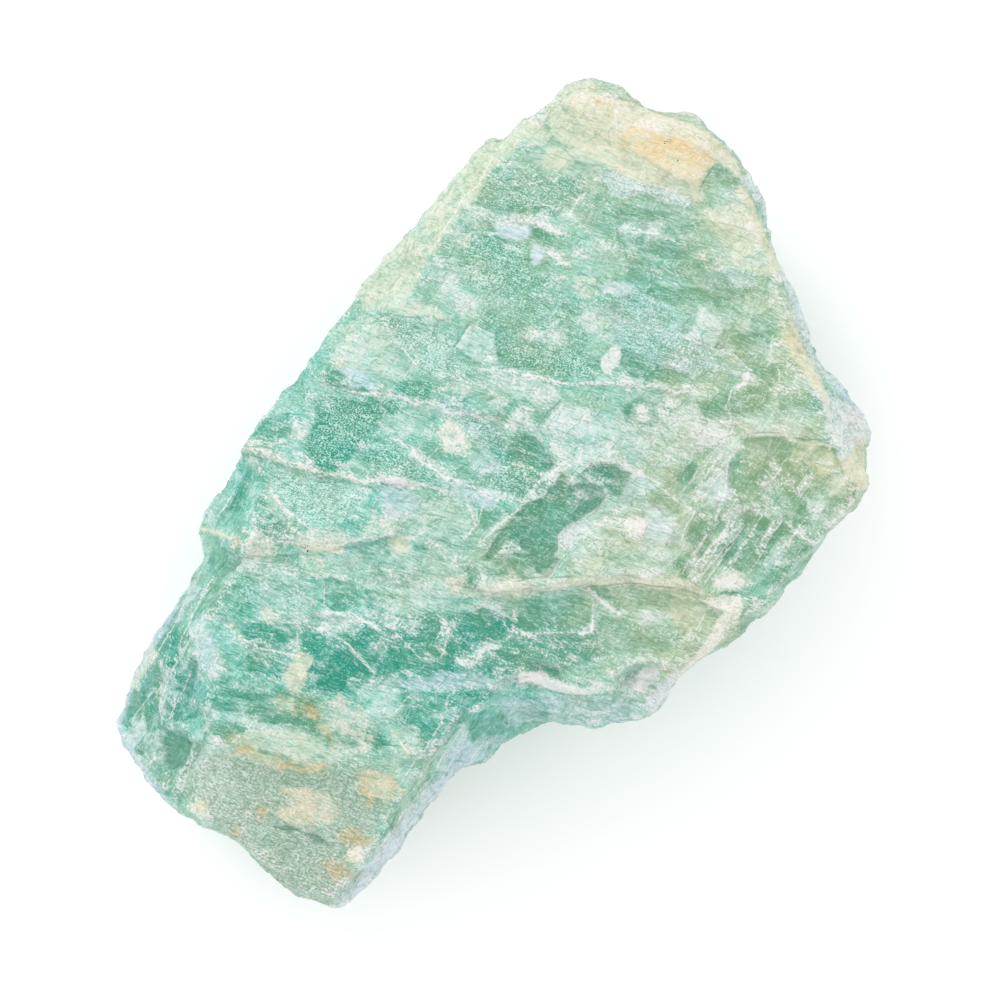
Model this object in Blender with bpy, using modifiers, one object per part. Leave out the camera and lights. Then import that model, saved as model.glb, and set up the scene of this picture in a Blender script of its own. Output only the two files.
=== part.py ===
"""Rough amazonite: one cleavage block of green potassium feldspar, lying on its broad back.

The stone is one piece. It is made as a block of its plan outline, whose top is worked into the
broad cleavage face with its flanks, ledges and plates, and whose underside is worked into the
facets that it rests on. Plan positions are in millimetres from the middle of the outline's
frame, +X to the right and +Y away along the stone's length; heights are millimetres above the
flat spot that the stone rests on.
"""

import math

import bmesh
import bpy
import numpy as np
from mathutils import Vector, noise

MM = 0.001

# Driving dimensions
FACE_HEIGHT = 34.0          # broad face above the resting spot, at the middle of the frame
FACE_TILT = (0.035, -0.02)  # rise of the broad face per millimetre along X and Y
BLOCK_HEIGHT = 20.0         # the plain block, before its top and underside are worked
COARSE_CELL = 0.60          # grid of the plain block
FINE_CELL = 0.62            # grid of the worked stone, before it is thinned to facets
FACETS = 9300               # triangles of the finished solid
LEAST_BODY = 4.0            # the stone is never thinner than this at its rim

# The plan outline, clockwise from the top, named by the stretch of rim that it follows
TOP_RIM = [
    (8.3, 42.3), (10.2, 42.1), (12.1, 41.6), (14.1, 39.8), (15.3, 39.0), (17.0, 38.7),
    (18.8, 39.0), (20.0, 38.2), (21.1, 36.9), (23.0, 35.4), (23.7, 34.0),
]
RIGHT_RIM = [
    (25.2, 31.9), (26.7, 30.1), (26.6, 28.9), (27.1, 27.1), (27.0, 26.2), (27.9, 24.0),
    (28.3, 22.9), (29.9, 20.6), (30.2, 19.2), (30.7, 17.2), (30.6, 16.2), (32.0, 14.2),
    (33.4, 12.0), (35.1, 10.1), (36.1, 8.9), (37.4, 6.8), (37.5, 6.2), (36.5, 4.9),
    (36.3, 3.9), (36.9, 1.8),
]
LOWER_RIGHT_RIM = [
    (36.5, 0.8), (34.9, -1.4), (34.1, -2.2), (33.2, -2.8), (32.2, -4.5), (30.8, -6.3),
    (28.8, -8.7), (27.2, -10.8), (25.8, -12.0), (25.0, -12.1), (23.5, -14.3), (22.0, -14.9),
    (20.0, -16.2), (19.2, -17.0), (18.0, -17.6), (17.0, -19.0), (15.5, -21.1), (14.1, -22.3),
]
SHELF_RIM = [
    (12.0, -22.3), (10.4, -22.7), (9.2, -23.0), (7.6, -22.6), (5.3, -22.4), (3.0, -23.2),
    (0.7, -24.1), (-0.3, -25.4), (-1.4, -26.8), (-2.8, -27.0), (-4.3, -27.1),
]
FOOT_RIM = [
    (-5.9, -29.0), (-7.1, -30.4), (-8.8, -32.9), (-11.0, -35.7), (-13.4, -38.7),
    (-14.5, -39.8), (-16.3, -41.2), (-18.1, -40.6), (-20.0, -39.9), (-21.9, -39.0),
    (-23.8, -37.2), (-25.2, -35.7), (-26.8, -33.9), (-29.3, -33.0), (-31.4, -31.5),
    (-34.0, -29.8), (-35.0, -28.6), (-36.6, -26.4), (-37.9, -24.5), (-38.5, -23.4),
]
LOWER_LEFT_RIM = [
    (-38.2, -22.0), (-37.2, -20.3), (-37.3, -19.7), (-36.9, -17.7), (-35.7, -15.6),
    (-33.7, -12.4), (-33.0, -11.1), (-32.0, -10.0), (-30.7, -7.6), (-29.4, -5.3),
]
SHOULDER_RIM = [
    (-30.0, -4.8), (-30.1, -2.1), (-29.5, -0.8), (-28.5, 0.2), (-27.8, 1.4), (-26.2, 3.7),
    (-25.8, 5.5),
]
UPPER_LEFT_RIM = [
    (-23.7, 8.4), (-21.0, 11.7), (-18.8, 14.3), (-18.2, 16.0), (-16.5, 17.8), (-14.8, 20.2),
    (-12.8, 23.0), (-10.7, 25.8), (-8.7, 28.0), (-6.6, 30.3), (-4.8, 32.3), (-2.9, 34.8),
    (-1.2, 36.2), (0.5, 35.8), (1.9, 38.0), (2.8, 38.7), (3.7, 38.6), (5.1, 40.2), (6.8, 41.5),
]
OUTLINE = (TOP_RIM + RIGHT_RIM + LOWER_RIGHT_RIM + SHELF_RIM + FOOT_RIM
           + LOWER_LEFT_RIM + SHOULDER_RIM + UPPER_LEFT_RIM)

# Flanks: faces that fall from the edge of the broad face to the rim. Each has its upper edge,
# with the fallen side on the right of the way it runs, its height under the broad face there,
# how steeply it falls, in degrees, and how far it may fall, in millimetres.
FLANKS = [
    ("upper left bevel", [
        (5.1, 40.1), (3.3, 37.8), (2.9, 36.0), (0.5, 33.7), (-1.3, 32.0), (-3.0, 30.0),
        (-5.3, 27.2), (-7.0, 24.2), (-9.5, 21.0), (-12.2, 18.2), (-15.0, 15.5), (-17.5, 12.8),
        (-19.7, 9.8), (-21.5, 7.5), (-23.8, 5.2)], 0.0, 44, 9.0),
    ("shoulder", [
        (-23.8, 5.2), (-23.8, 2.0), (-24.3, -1.0), (-25.2, -3.6), (-25.9, -5.6)], 0.3, 50, 9.0),
    ("lower left side", [
        (-25.7, -5.8), (-27.8, -8.3), (-29.5, -11.0), (-30.8, -13.5), (-30.9, -15.8),
        (-29.5, -17.5), (-29.8, -20.0), (-29.6, -22.5), (-30.0, -24.8)], 1.2, 56, 12.0),
    ("lower left corner", [
        (-30.0, -24.8), (-30.8, -26.5), (-31.6, -28.5), (-31.4, -30.0), (-30.2, -32.4)],
        2.0, 55, 7.0),
    ("foot", [
        (-30.2, -32.4), (-27.6, -33.0), (-25.8, -34.6), (-23.4, -37.0), (-21.4, -38.4),
        (-19.0, -39.5), (-16.2, -40.2)], 1.6, 62, 6.0),
    ("fluted side", [
        (-16.0, -40.4), (-14.6, -38.2), (-12.8, -35.2), (-11.0, -32.2), (-9.2, -29.5),
        (-7.0, -26.0), (-4.8, -23.5), (-3.0, -21.2), (-0.8, -19.0)], 2.2, 66, 15.0),
    ("shelf", [
        (-0.8, -19.0), (0.6, -17.6), (2.2, -16.9), (4.6, -17.1), (6.6, -18.5), (9.0, -19.2),
        (11.6, -18.6), (13.8, -17.0), (15.4, -16.7)], 1.8, 47, 9.0),
    ("lower right facet", [
        (13.6, -21.6), (15.0, -19.6), (16.6, -17.6), (18.6, -16.6), (21.0, -15.2),
        (23.0, -13.2), (25.4, -11.2), (28.2, -8.2), (31.6, -4.2), (34.2, -1.6), (36.0, 1.0)],
        2.6, 68, 8.0),
    ("right rim", [
        (36.0, 1.2), (34.2, 3.2), (33.4, 5.6), (32.4, 8.6), (31.5, 10.6), (30.4, 12.2),
        (29.4, 14.4), (29.0, 17.0), (28.8, 19.4), (28.2, 21.6), (27.6, 23.6), (26.6, 25.6),
        (25.6, 28.0), (24.6, 30.2), (23.2, 32.4), (21.8, 34.8), (20.0, 37.0)], 0.6, 63, 10.0),
    ("top rim", [
        (20.0, 37.0), (17.0, 37.6), (14.6, 38.2), (12.6, 39.8), (10.4, 40.6), (8.4, 41.0),
        (6.4, 40.4)], 0.5, 60, 7.0),
]

# Ledges: steps of the broad face, lower on the right of the way that they run. Each has its
# line, with the drop at every point of it, the width of its riser and how far the drop reaches
# before the face has risen again.
LEDGES = [
    ("main ridge", [
        (-8.0, -2.6, 0.6), (-6.4, -5.4, 0.8), (-4.4, -7.4, 1.4), (-2.5, -9.2, 2.0),
        (0.0, -9.4, 2.4), (3.0, -8.8, 2.4), (6.0, -8.3, 2.2), (10.0, -7.8, 2.2),
        (14.0, -7.8, 2.2), (17.0, -8.0, 2.0), (19.4, -8.4, 1.8), (21.4, -10.0, 1.6),
        (23.0, -12.6, 1.4)], 0.7, 30.0),
    ("left ledge", [
        (-32.0, -5.0, 1.6), (-26.4, -4.2, 1.6), (-23.6, -4.3, 1.4), (-19.0, -4.8, 1.1),
        (-15.8, -4.4, 0.9), (-13.0, -3.8, 0.7), (-10.4, -2.8, 0.5)], 0.5, 13.0),
    ("upper ledge", [
        (-27.5, 5.0, 1.0), (-23.0, 4.4, 1.0), (-20.1, 3.2, 0.8), (-17.0, 2.4, 0.6),
        (-11.9, 1.9, 0.5), (-7.0, 1.2, 0.5), (-1.7, 0.4, 0.3)], 0.4, 9.0),
    ("long line", [
        (-20.5, 12.0, 0.6), (-15.5, 11.1, 0.6), (-10.7, 10.1, 0.5), (-7.0, 9.5, 0.4),
        (-0.2, 8.0, 0.4), (4.5, 6.6, 0.3)], 0.4, 8.0),
    ("lower block top", [
        (-31.0, -24.6, 0.9), (-28.5, -24.8, 0.9), (-25.5, -24.4, 0.8), (-22.0, -25.4, 0.8),
        (-18.0, -26.4, 0.6), (-14.0, -25.8, 0.6), (-10.0, -25.2, 0.5), (-7.0, -24.8, 0.5)],
        1.6, 12.0),
    ("diagonal edge", [
        (21.5, 4.8, 0.6), (19.2, 1.2, 0.9), (17.6, -1.2, 0.9), (16.0, -4.4, 0.7),
        (15.0, -7.8, 0.5)], 0.5, 10.0),
    ("right lamina", [
        (31.0, 5.0, 0.7), (29.2, 3.2, 0.8), (27.0, -0.4, 0.8), (25.0, -3.6, 0.8),
        (23.0, -7.0, 0.7), (21.2, -10.4, 0.5)], 0.5, 8.0),
    ("middle lamina", [
        (24.6, 6.4, 0.5), (23.4, 2.4, 0.6), (21.6, -0.8, 0.6), (19.4, -4.4, 0.5),
        (18.0, -7.4, 0.4)], 0.4, 6.0),
    ("crescent", [
        (-3.4, 27.6, 0.3), (-1.0, 28.2, 0.6), (2.0, 28.0, 0.7), (4.4, 27.0, 0.5),
        (5.2, 25.6, 0.3)], 0.6, 5.0),
    ("pale line", [
        (-13.4, 18.6, 0.3), (-11.5, 17.8, 0.5), (-9.6, 15.4, 0.6), (-7.8, 12.8, 0.4)],
        0.5, 6.0),
    ("speckled ledge", [
        (9.6, 33.2, 0.3), (11.7, 31.8, 0.5), (14.5, 31.2, 0.6), (17.0, 29.8, 0.6),
        (19.6, 28.8, 0.3)], 0.5, 5.0),
]

# Plates and recesses of the broad face: corners, rise at the middle, and rise per millimetre
# along X and Y. A negative rise is a recess.
PLATES = [
    ("cream tablet", [
        (6.8, 40.0), (9.0, 40.4), (13.0, 38.8), (17.0, 37.4), (21.0, 36.6), (21.5, 34.0),
        (19.7, 31.1), (17.0, 32.0), (14.0, 34.0), (10.0, 36.4), (7.4, 38.0)], 0.9, 0.03, 0.02),
    ("dark recess", [
        (-0.7, -6.5), (2.6, -1.6), (6.7, 1.5), (8.7, 2.0), (11.0, -0.4), (8.2, -2.2),
        (6.2, -4.5), (6.2, -6.5), (4.9, -8.0)], -0.9, -0.13, 0.04),
    ("small recess", [(9.2, 3.0), (13.6, 1.8), (12.8, -0.4), (10.7, 0.7)], -0.8, 0.0, 0.0),
    ("teal facet", [
        (1.6, 6.4), (4.6, 5.1), (6.2, 3.3), (3.1, -0.3), (1.0, -0.5)], -0.2, -0.16, 0.0),
    ("olive plate", [
        (11.3, -0.3), (14.0, 0.4), (17.6, -1.6), (16.2, -4.6), (15.0, -7.7), (10.0, -7.7),
        (6.4, -8.2), (6.5, -4.8), (8.6, -2.0)], 0.5, 0.0, 0.0),
    ("pale plate", [
        (4.4, 6.6), (6.2, 8.7), (10.0, 9.2), (12.3, 6.9), (11.5, 3.7), (6.8, 2.6),
        (4.7, 5.1)], 0.4, 0.0, 0.0),
    ("rhomb", [(18.5, 16.5), (20.0, 19.6), (22.2, 18.2), (22.2, 15.5), (20.0, 15.0)],
        0.35, 0.0, 0.0),
    ("corner notch", [
        (-33.6, -22.8), (-29.8, -23.0), (-29.9, -24.8), (-31.0, -27.0), (-33.8, -26.6)],
        -1.8, 0.0, 0.0),
    ("lower block plate", [
        (-21.0, -29.2), (-16.5, -29.2), (-15.8, -32.8), (-19.4, -32.8), (-22.2, -31.8)],
        0.5, 0.0, 0.0),
]

# The lower ground of the broad face leans down from its main ridge to the foot
LOWER_GROUND_START = (0.0, -9.0)
LOWER_GROUND_FACING = -70
LOWER_GROUND_FALL = 11

# Underside: flat spot at height 0, and facets that rise from it. Each has the way that it
# faces in degrees from +X, its start from the middle of the spot and its rise in degrees.
SPOT_MIDDLE = (1.0, -1.5)
BACK_FACETS = [(35, 14.0, 7), (88, 18.0, 5), (152, 9.5, 9), (238, 15.0, 6), (318, 12.0, 11)]
BEVEL_FACETS = [
    (24, 25.0, 42), (352, 27.0, 47), (60, 33.0, 40), (104, 31.0, 45), (150, 17.5, 40),
    (172, 27.0, 46), (222, 35.0, 36), (262, 31.0, 44), (322, 17.0, 42),
]
STEEP_FACETS = [
    (15, 31.0, 62), (42, 31.0, 60), (146, 21.5, 64), (168, 29.5, 60), (205, 42.0, 56),
    (250, 38.5, 60), (330, 22.0, 66),
]
UNDERCUT = 0.15             # how much the sides close in for each millimetre down from the rim
FLAT_CUT = 0.25             # thickness shaved off the underside to leave its spot truly flat

# The stone breaks into oblique blocks along three cleavages: the broad face, the laminae that
# run up to the right across it, and the streaks that run down to the right
LAMINA_NORMAL = Vector((0.80, -0.54, 0.26)).normalized()
STREAK_NORMAL = Vector((0.22, 0.96, 0.17)).normalized()
FACE_NORMAL = Vector((-0.035, 0.02, 1.0)).normalized()

# Roughness of the broken surfaces: size of the lumps or blocks, and how far they stand out
BROAD_LUMPS = (12.0, 0.55)
HACKLY_LUMPS = (2.8, 0.16)
BLOCKS = ((5.2, 8.0, 6.5), 0.60)
SMALL_BLOCKS = ((2.1, 3.6, 3.4), 0.22)
LAMINAE = ((40.0, 2.1, 30.0), 0.40)
RIM_BAND = 1.6              # the rim itself stays true to the outline: lumps fade out this near it


def clear_scene():
    for old in list(bpy.data.objects):
        bpy.data.objects.remove(old, do_unlink=True)


def make_collection(name):
    made = bpy.data.collections.new(name)
    bpy.context.scene.collection.children.link(made)
    return made


def follow_line(plan, line):
    """For each plan point: its distance from the line, positive on the line's left, how far it
    lies past the line's ends, and its place along the line in points of the line."""
    line = np.array(line, float)[:, :2]
    best = np.full(len(plan), np.inf)
    signed = np.zeros(len(plan))
    overrun = np.zeros(len(plan))
    place = np.zeros(len(plan))
    last = len(line) - 2
    for i in range(len(line) - 1):
        start, along = line[i], line[i + 1] - line[i]
        length = np.hypot(*along)
        way = along / length
        offset = plan - start
        run = offset @ way
        kept = np.clip(run, 0.0, length)
        distance = np.hypot(*(offset - kept[:, None] * way).T)
        across = way[0] * offset[:, 1] - way[1] * offset[:, 0]
        past = np.zeros(len(plan))
        if i == 0:
            past = np.maximum(past, -run)
        if i == last:
            past = np.maximum(past, run - length)
        nearer = distance < best
        best = np.where(nearer, distance, best)
        signed = np.where(nearer, np.sign(across) * distance, signed)
        overrun = np.where(nearer, past, overrun)
        place = np.where(nearer, i + kept / length, place)
    return signed, overrun, place


def inside(plan, corners):
    """True for each plan point that lies within the corners."""
    corners = np.array(corners, float)
    found = np.zeros(len(plan), bool)
    for a, b in zip(corners, np.roll(corners, -1, axis=0)):
        crosses = (a[1] > plan[:, 1]) != (b[1] > plan[:, 1])
        rise = np.where(b[1] == a[1], 1.0, b[1] - a[1])
        found ^= crosses & (plan[:, 0] < a[0] + (b[0] - a[0]) * (plan[:, 1] - a[1]) / rise)
    return found


def smooth_step(value):
    value = np.clip(value, 0.0, 1.0)
    return value * value * (3.0 - 2.0 * value)


def broad_face(plan):
    """Height of the stone's top at each plan point, in millimetres."""
    height = FACE_HEIGHT + plan @ np.array(FACE_TILT)
    facing = math.radians(LOWER_GROUND_FACING)
    way = np.array((math.cos(facing), math.sin(facing)))
    below = np.maximum((plan - np.array(LOWER_GROUND_START)) @ way, 0.0)
    height -= below * math.tan(math.radians(LOWER_GROUND_FALL))
    for _, line, riser, reach in LEDGES:
        distance, past, place = follow_line(plan, line)
        drop = np.interp(place, range(len(line)), [point[2] for point in line])
        lower = smooth_step(-distance / riser)
        risen = 1 - smooth_step(-distance / reach)
        height -= drop * lower * risen * (1 - smooth_step(past / 2.0))
    for _, corners, rise, rise_x, rise_y in PLATES:
        distance, _, _ = follow_line(plan, corners + corners[:1])
        depth = np.where(inside(plan, corners), np.abs(distance), -np.abs(distance))
        middle = np.mean(corners, axis=0)
        lean = (plan - middle) @ np.array((rise_x, rise_y))
        height += (rise + lean) * smooth_step(depth / 0.5 + 0.5)
    return height


def cut_flanks(plan, height):
    """Lowers the top where the flanks fall away to the rim."""
    cut = height.copy()
    for _, line, under, fall, most in FLANKS:
        distance, past, _ = follow_line(plan, line)
        outward = -distance
        steep = math.tan(math.radians(fall))
        fallen = np.minimum(outward * steep, most + outward * 0.35)
        flank = height - under * smooth_step(outward / 0.4 + 1) - fallen + past * 4.0
        cut = np.where(outward > -0.4, np.minimum(cut, flank), cut)
    return cut


def underside(plan):
    """Height of the stone's underside at each plan point, in millimetres."""
    offset = plan - np.array(SPOT_MIDDLE)
    height = np.zeros(len(plan))
    for facing, start, rise in BACK_FACETS + BEVEL_FACETS + STEEP_FACETS:
        way = np.array((math.cos(math.radians(facing)), math.sin(math.radians(facing))))
        height = np.maximum(height, (offset @ way - start) * math.tan(math.radians(rise)))
    return height


def make_block(collection):
    """The plain block: the outline as a filled flat curve with an extrusion."""
    curve = bpy.data.curves.new("outline", "CURVE")
    curve.dimensions = "2D"
    curve.fill_mode = "BOTH"
    curve.extrude = BLOCK_HEIGHT / 2 * MM
    spline = curve.splines.new("POLY")
    spline.points.add(len(OUTLINE) - 1)
    for point, (x, y) in zip(spline.points, OUTLINE):
        point.co = (x * MM, y * MM, 0.0, 1.0)
    spline.use_cyclic_u = True
    outline = bpy.data.objects.new("outline", curve)
    collection.objects.link(outline)
    graph = bpy.context.evaluated_depsgraph_get()
    mesh = bpy.data.meshes.new_from_object(outline.evaluated_get(graph))
    bpy.data.objects.remove(outline)
    work = bmesh.new()
    work.from_mesh(mesh)
    bmesh.ops.remove_doubles(work, verts=work.verts, dist=0.01 * MM)
    bmesh.ops.recalc_face_normals(work, faces=work.faces)
    work.to_mesh(mesh)
    work.free()
    stone = bpy.data.objects.new("amazonite_stone", mesh)
    collection.objects.link(stone)
    return stone


def apply_modifier(stone, kind, **settings):
    """Adds a modifier, sets it and makes its result the stone's own mesh."""
    modifier = stone.modifiers.new(kind.title(), kind)
    for key, value in settings.items():
        setattr(modifier, key, value)
    graph = bpy.context.evaluated_depsgraph_get()
    made = bpy.data.meshes.new_from_object(stone.evaluated_get(graph))
    stone.modifiers.clear()
    old = stone.data
    stone.data = made
    bpy.data.meshes.remove(old)


def points_of(mesh):
    flat = np.empty(len(mesh.vertices) * 3)
    mesh.vertices.foreach_get("co", flat)
    return flat.reshape(-1, 3) / MM


def set_points(mesh, points):
    mesh.vertices.foreach_set("co", (points * MM).ravel())
    mesh.update()


def normals_of(mesh):
    flat = np.empty(len(mesh.vertices) * 3)
    mesh.vertices.foreach_get("normal", flat)
    return flat.reshape(-1, 3)


def work_top_and_underside(mesh):
    """Spreads the block's height between the underside and the worked broad face, and closes
    the sides in below the rim."""
    points = points_of(mesh)
    plan = points[:, :2]
    top = cut_flanks(plan, broad_face(plan))
    bottom = np.minimum(underside(plan), top - LEAST_BODY)
    share = np.clip(points[:, 2] / BLOCK_HEIGHT + 0.5, 0.0, 1.0)
    height = bottom + share * (top - bottom)
    middle = np.array(SPOT_MIDDLE)
    offset = plan - middle
    radius = np.hypot(*offset.T) + 1e-6
    closing = np.clip(UNDERCUT * (top - height) / radius, 0.0, 0.35)
    points[:, :2] = middle + offset * (1 - closing)[:, None]
    points[:, 2] = height
    set_points(mesh, points)


def lump(point, size, seed):
    """Smooth noise from -1 to 1, with lumps of that size in millimetres."""
    return noise.noise(point / size + Vector((seed, seed * 1.7, -seed)))


def block(point, sizes, seed):
    """A level from -1 to 1 that is the same all over one block between the cleavages. Nearly
    half of the blocks are left at level 0."""
    bend = 0.35 * lump(point, 9.0, seed)
    place = Vector((
        STREAK_NORMAL.dot(point) / sizes[0] + bend,
        LAMINA_NORMAL.dot(point) / sizes[1] + 0.7 * bend,
        FACE_NORMAL.dot(point) / sizes[2] + seed,
    ))
    level = noise.cell(place)
    return math.copysign(max(abs(level) - 0.45, 0.0) / 0.55, level)


def roughen(mesh):
    """Moves the broken surface in and out: broad lumps, the blocks between the cleavages, the
    laminae that show as flutes on the sides, and hackly lumps."""
    points = points_of(mesh)
    normals = normals_of(mesh)
    moved = np.empty(len(points))
    for i, normal in enumerate(normals):
        point = Vector(points[i])
        side = 1.0 - abs(normal[2])
        on_face = max(normal[2], 0.0) ** 4
        out = BROAD_LUMPS[1] * lump(point, BROAD_LUMPS[0], 3.1)
        out += BLOCKS[1] * block(point, BLOCKS[0], 7.3) * (1.0 - 0.55 * on_face)
        out += SMALL_BLOCKS[1] * block(point, SMALL_BLOCKS[0], 2.9) * (1.0 - 0.4 * on_face)
        out += LAMINAE[1] * block(point, LAMINAE[0], 4.6) * side
        out += HACKLY_LUMPS[1] * lump(point, HACKLY_LUMPS[0], 5.3) * (1.0 - 0.6 * on_face)
        moved[i] = out
    moved *= smooth_step(points[:, 2] / 1.5)
    shift = normals * moved[:, None]
    from_rim, _, _ = follow_line(points[:, :2], OUTLINE + OUTLINE[:1])
    shift[:, :2] *= (0.25 + 0.75 * smooth_step(np.abs(from_rim) / RIM_BAND))[:, None]
    set_points(mesh, points + shift)


def flatten_spot(mesh):
    """Shaves the underside so that the spot that the stone rests on is truly flat."""
    work = bmesh.new()
    work.from_mesh(mesh)
    everything = work.verts[:] + work.edges[:] + work.faces[:]
    cut = bmesh.ops.bisect_plane(
        work, geom=everything, dist=0.001 * MM, plane_co=(0, 0, FLAT_CUT * MM),
        plane_no=(0, 0, -1), clear_outer=True)
    rim = [e for e in cut["geom_cut"] if isinstance(e, bmesh.types.BMEdge)]
    bmesh.ops.edgeloop_fill(work, edges=rim)
    bmesh.ops.remove_doubles(work, verts=work.verts, dist=0.02 * MM)
    bmesh.ops.triangulate(work, faces=work.faces)
    bmesh.ops.recalc_face_normals(work, faces=work.faces)
    work.to_mesh(mesh)
    work.free()


def centre_on_spot(mesh):
    """Puts the origin under the middle of the stone's box, on the surface it rests on."""
    points = points_of(mesh)
    low, high = points.min(axis=0), points.max(axis=0)
    points -= ((low[0] + high[0]) / 2, (low[1] + high[1]) / 2, low[2])
    set_points(mesh, points)


def feldspar_material():
    material = bpy.data.materials.new("rough_amazonite")
    material.use_nodes = True
    shader = material.node_tree.nodes["Principled BSDF"]
    shader.inputs["Base Color"].default_value = (0.40, 0.62, 0.52, 1.0)
    shader.inputs["Roughness"].default_value = 0.45
    shader.inputs["Metallic"].default_value = 0.0
    shader.inputs["IOR"].default_value = 1.53
    return material


def main():
    clear_scene()
    collection = make_collection("rough_amazonite")
    stone = make_block(collection)
    apply_modifier(stone, "REMESH", mode="VOXEL", voxel_size=COARSE_CELL * MM)
    work_top_and_underside(stone.data)
    apply_modifier(stone, "REMESH", mode="VOXEL", voxel_size=FINE_CELL * MM)
    roughen(stone.data)
    quads = len(stone.data.polygons)
    apply_modifier(stone, "DECIMATE", ratio=FACETS / (2 * quads))
    flatten_spot(stone.data)
    centre_on_spot(stone.data)
    stone.data.materials.append(feldspar_material())


main()
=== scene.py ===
"""Rough amazonite: a broken cleavage block of green potassium feldspar, lying on its broad back.

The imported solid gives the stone's shape. Here a finer copy of it gets the relief of broken
feldspar (terraces, oblique blocks, laminae, hackle) and a stone material whose clear, milky,
crushed and iron-stained parts lie where they lie on this stone. Lengths in the lists of marks
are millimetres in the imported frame, seen from above, and angles are degrees from +X.
"""

import functools
import math

import bmesh
import bpy
import numpy as np
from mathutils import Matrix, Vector, noise


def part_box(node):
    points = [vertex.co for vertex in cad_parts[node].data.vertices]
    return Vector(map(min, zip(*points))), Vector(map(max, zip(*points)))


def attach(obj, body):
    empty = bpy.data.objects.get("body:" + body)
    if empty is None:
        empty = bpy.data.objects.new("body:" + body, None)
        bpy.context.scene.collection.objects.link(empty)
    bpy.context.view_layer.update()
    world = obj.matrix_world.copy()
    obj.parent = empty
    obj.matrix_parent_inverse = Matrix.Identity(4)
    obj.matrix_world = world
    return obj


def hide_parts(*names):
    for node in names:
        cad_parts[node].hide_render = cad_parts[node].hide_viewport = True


bl_info = {
    "name": "Rough amazonite",
    "version": (1, 0, 0),
    "blender": (4, 5, 0),
    "location": "3D View > Sidebar > Amazonite",
    "description": "A rough block of green feldspar with its stage",
    "category": "Object",
}

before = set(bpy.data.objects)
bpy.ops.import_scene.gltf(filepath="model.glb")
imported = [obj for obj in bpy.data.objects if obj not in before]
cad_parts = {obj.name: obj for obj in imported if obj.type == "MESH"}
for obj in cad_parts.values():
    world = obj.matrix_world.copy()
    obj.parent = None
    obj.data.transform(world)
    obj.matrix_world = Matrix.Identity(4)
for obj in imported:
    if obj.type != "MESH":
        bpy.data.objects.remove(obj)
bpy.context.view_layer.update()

MM = 0.001
NODE = "amazonite_stone"
NODE_LOW, NODE_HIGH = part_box(NODE)

# Cleavages of the stone: the broad face, the laminae that run up to the right across it and
# the streaks that run down to the right
STREAK_TURN = -17.0
LAMINA_TURN = 56.0
STREAK_NORMAL = np.array(Vector((0.22, 0.96, 0.17)).normalized())
LAMINA_NORMAL = np.array(Vector((0.80, -0.54, 0.26)).normalized())
FACE_NORMAL = np.array(Vector((-0.035, 0.02, 1.0)).normalized())

# Ground tone, from 0 for olive to 1 for teal: x, y, reach and tone of each part of the face
GROUNDS = [
    (-7, 10.5, 5, 0.75), (-16.5, 5.5, 5, 1), (-18.5, -0.5, 4.5, 0.8), (-16.5, -15.5, 5, 1),
    (-3.5, -14.5, 4.5, 1), (-0.5, -21.5, 3.5, 0.95), (7.5, -21.5, 3.5, 0.75),
    (-34.5, -20.5, 4, 0.9), (-33, -28, 3, 0.6), (-22.5, -30.5, 4.5, 0.45), (-17.5, -37.5, 3, 0.5),
    (-9.5, -28.5, 3, 0.6), (-22.5, -9.5, 4, 0.7), (-6.5, -7.5, 3.5, 0.45), (4.5, -3.5, 3, 0.72),
    (11, 1.5, 2.5, 0.75), (3.5, 3.5, 2.5, 0.75), (13.5, -3.5, 3.5, 0.15), (14.5, -11.5, 4, 0.22),
    (6.5, -13.5, 3.5, 0.6), (29.5, -5.5, 3.5, 0.5), (21.5, 1.5, 3, 0.3), (28.5, 3.5, 3, 0),
    (34.5, -0.5, 2.5, 0.1), (35.5, 7.5, 2.5, 0.7), (26.5, 16.5, 4, 0.25), (23.5, 10.5, 3.5, 0.2),
    (21.5, 26.5, 4.5, 0.35), (14.5, 19.5, 4.5, 0.7), (6.5, 16.5, 4.5, 0.65),
    (-1.5, 22.5, 4.5, 0.65), (4.5, 31.5, 4, 0.5), (14.5, 36.5, 3, 0.1), (-9.5, 23.5, 3, 0.5),
    (-20.5, 9.5, 3, 0.8), (-28, -1.5, 3, 0.9), (29, 24.5, 2.5, 0.75), (-19, -22, 1.5, 0.4),
    (1, -8.5, 2, 0.2), (-8.5, -14.5, 3, 1),
]

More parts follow.
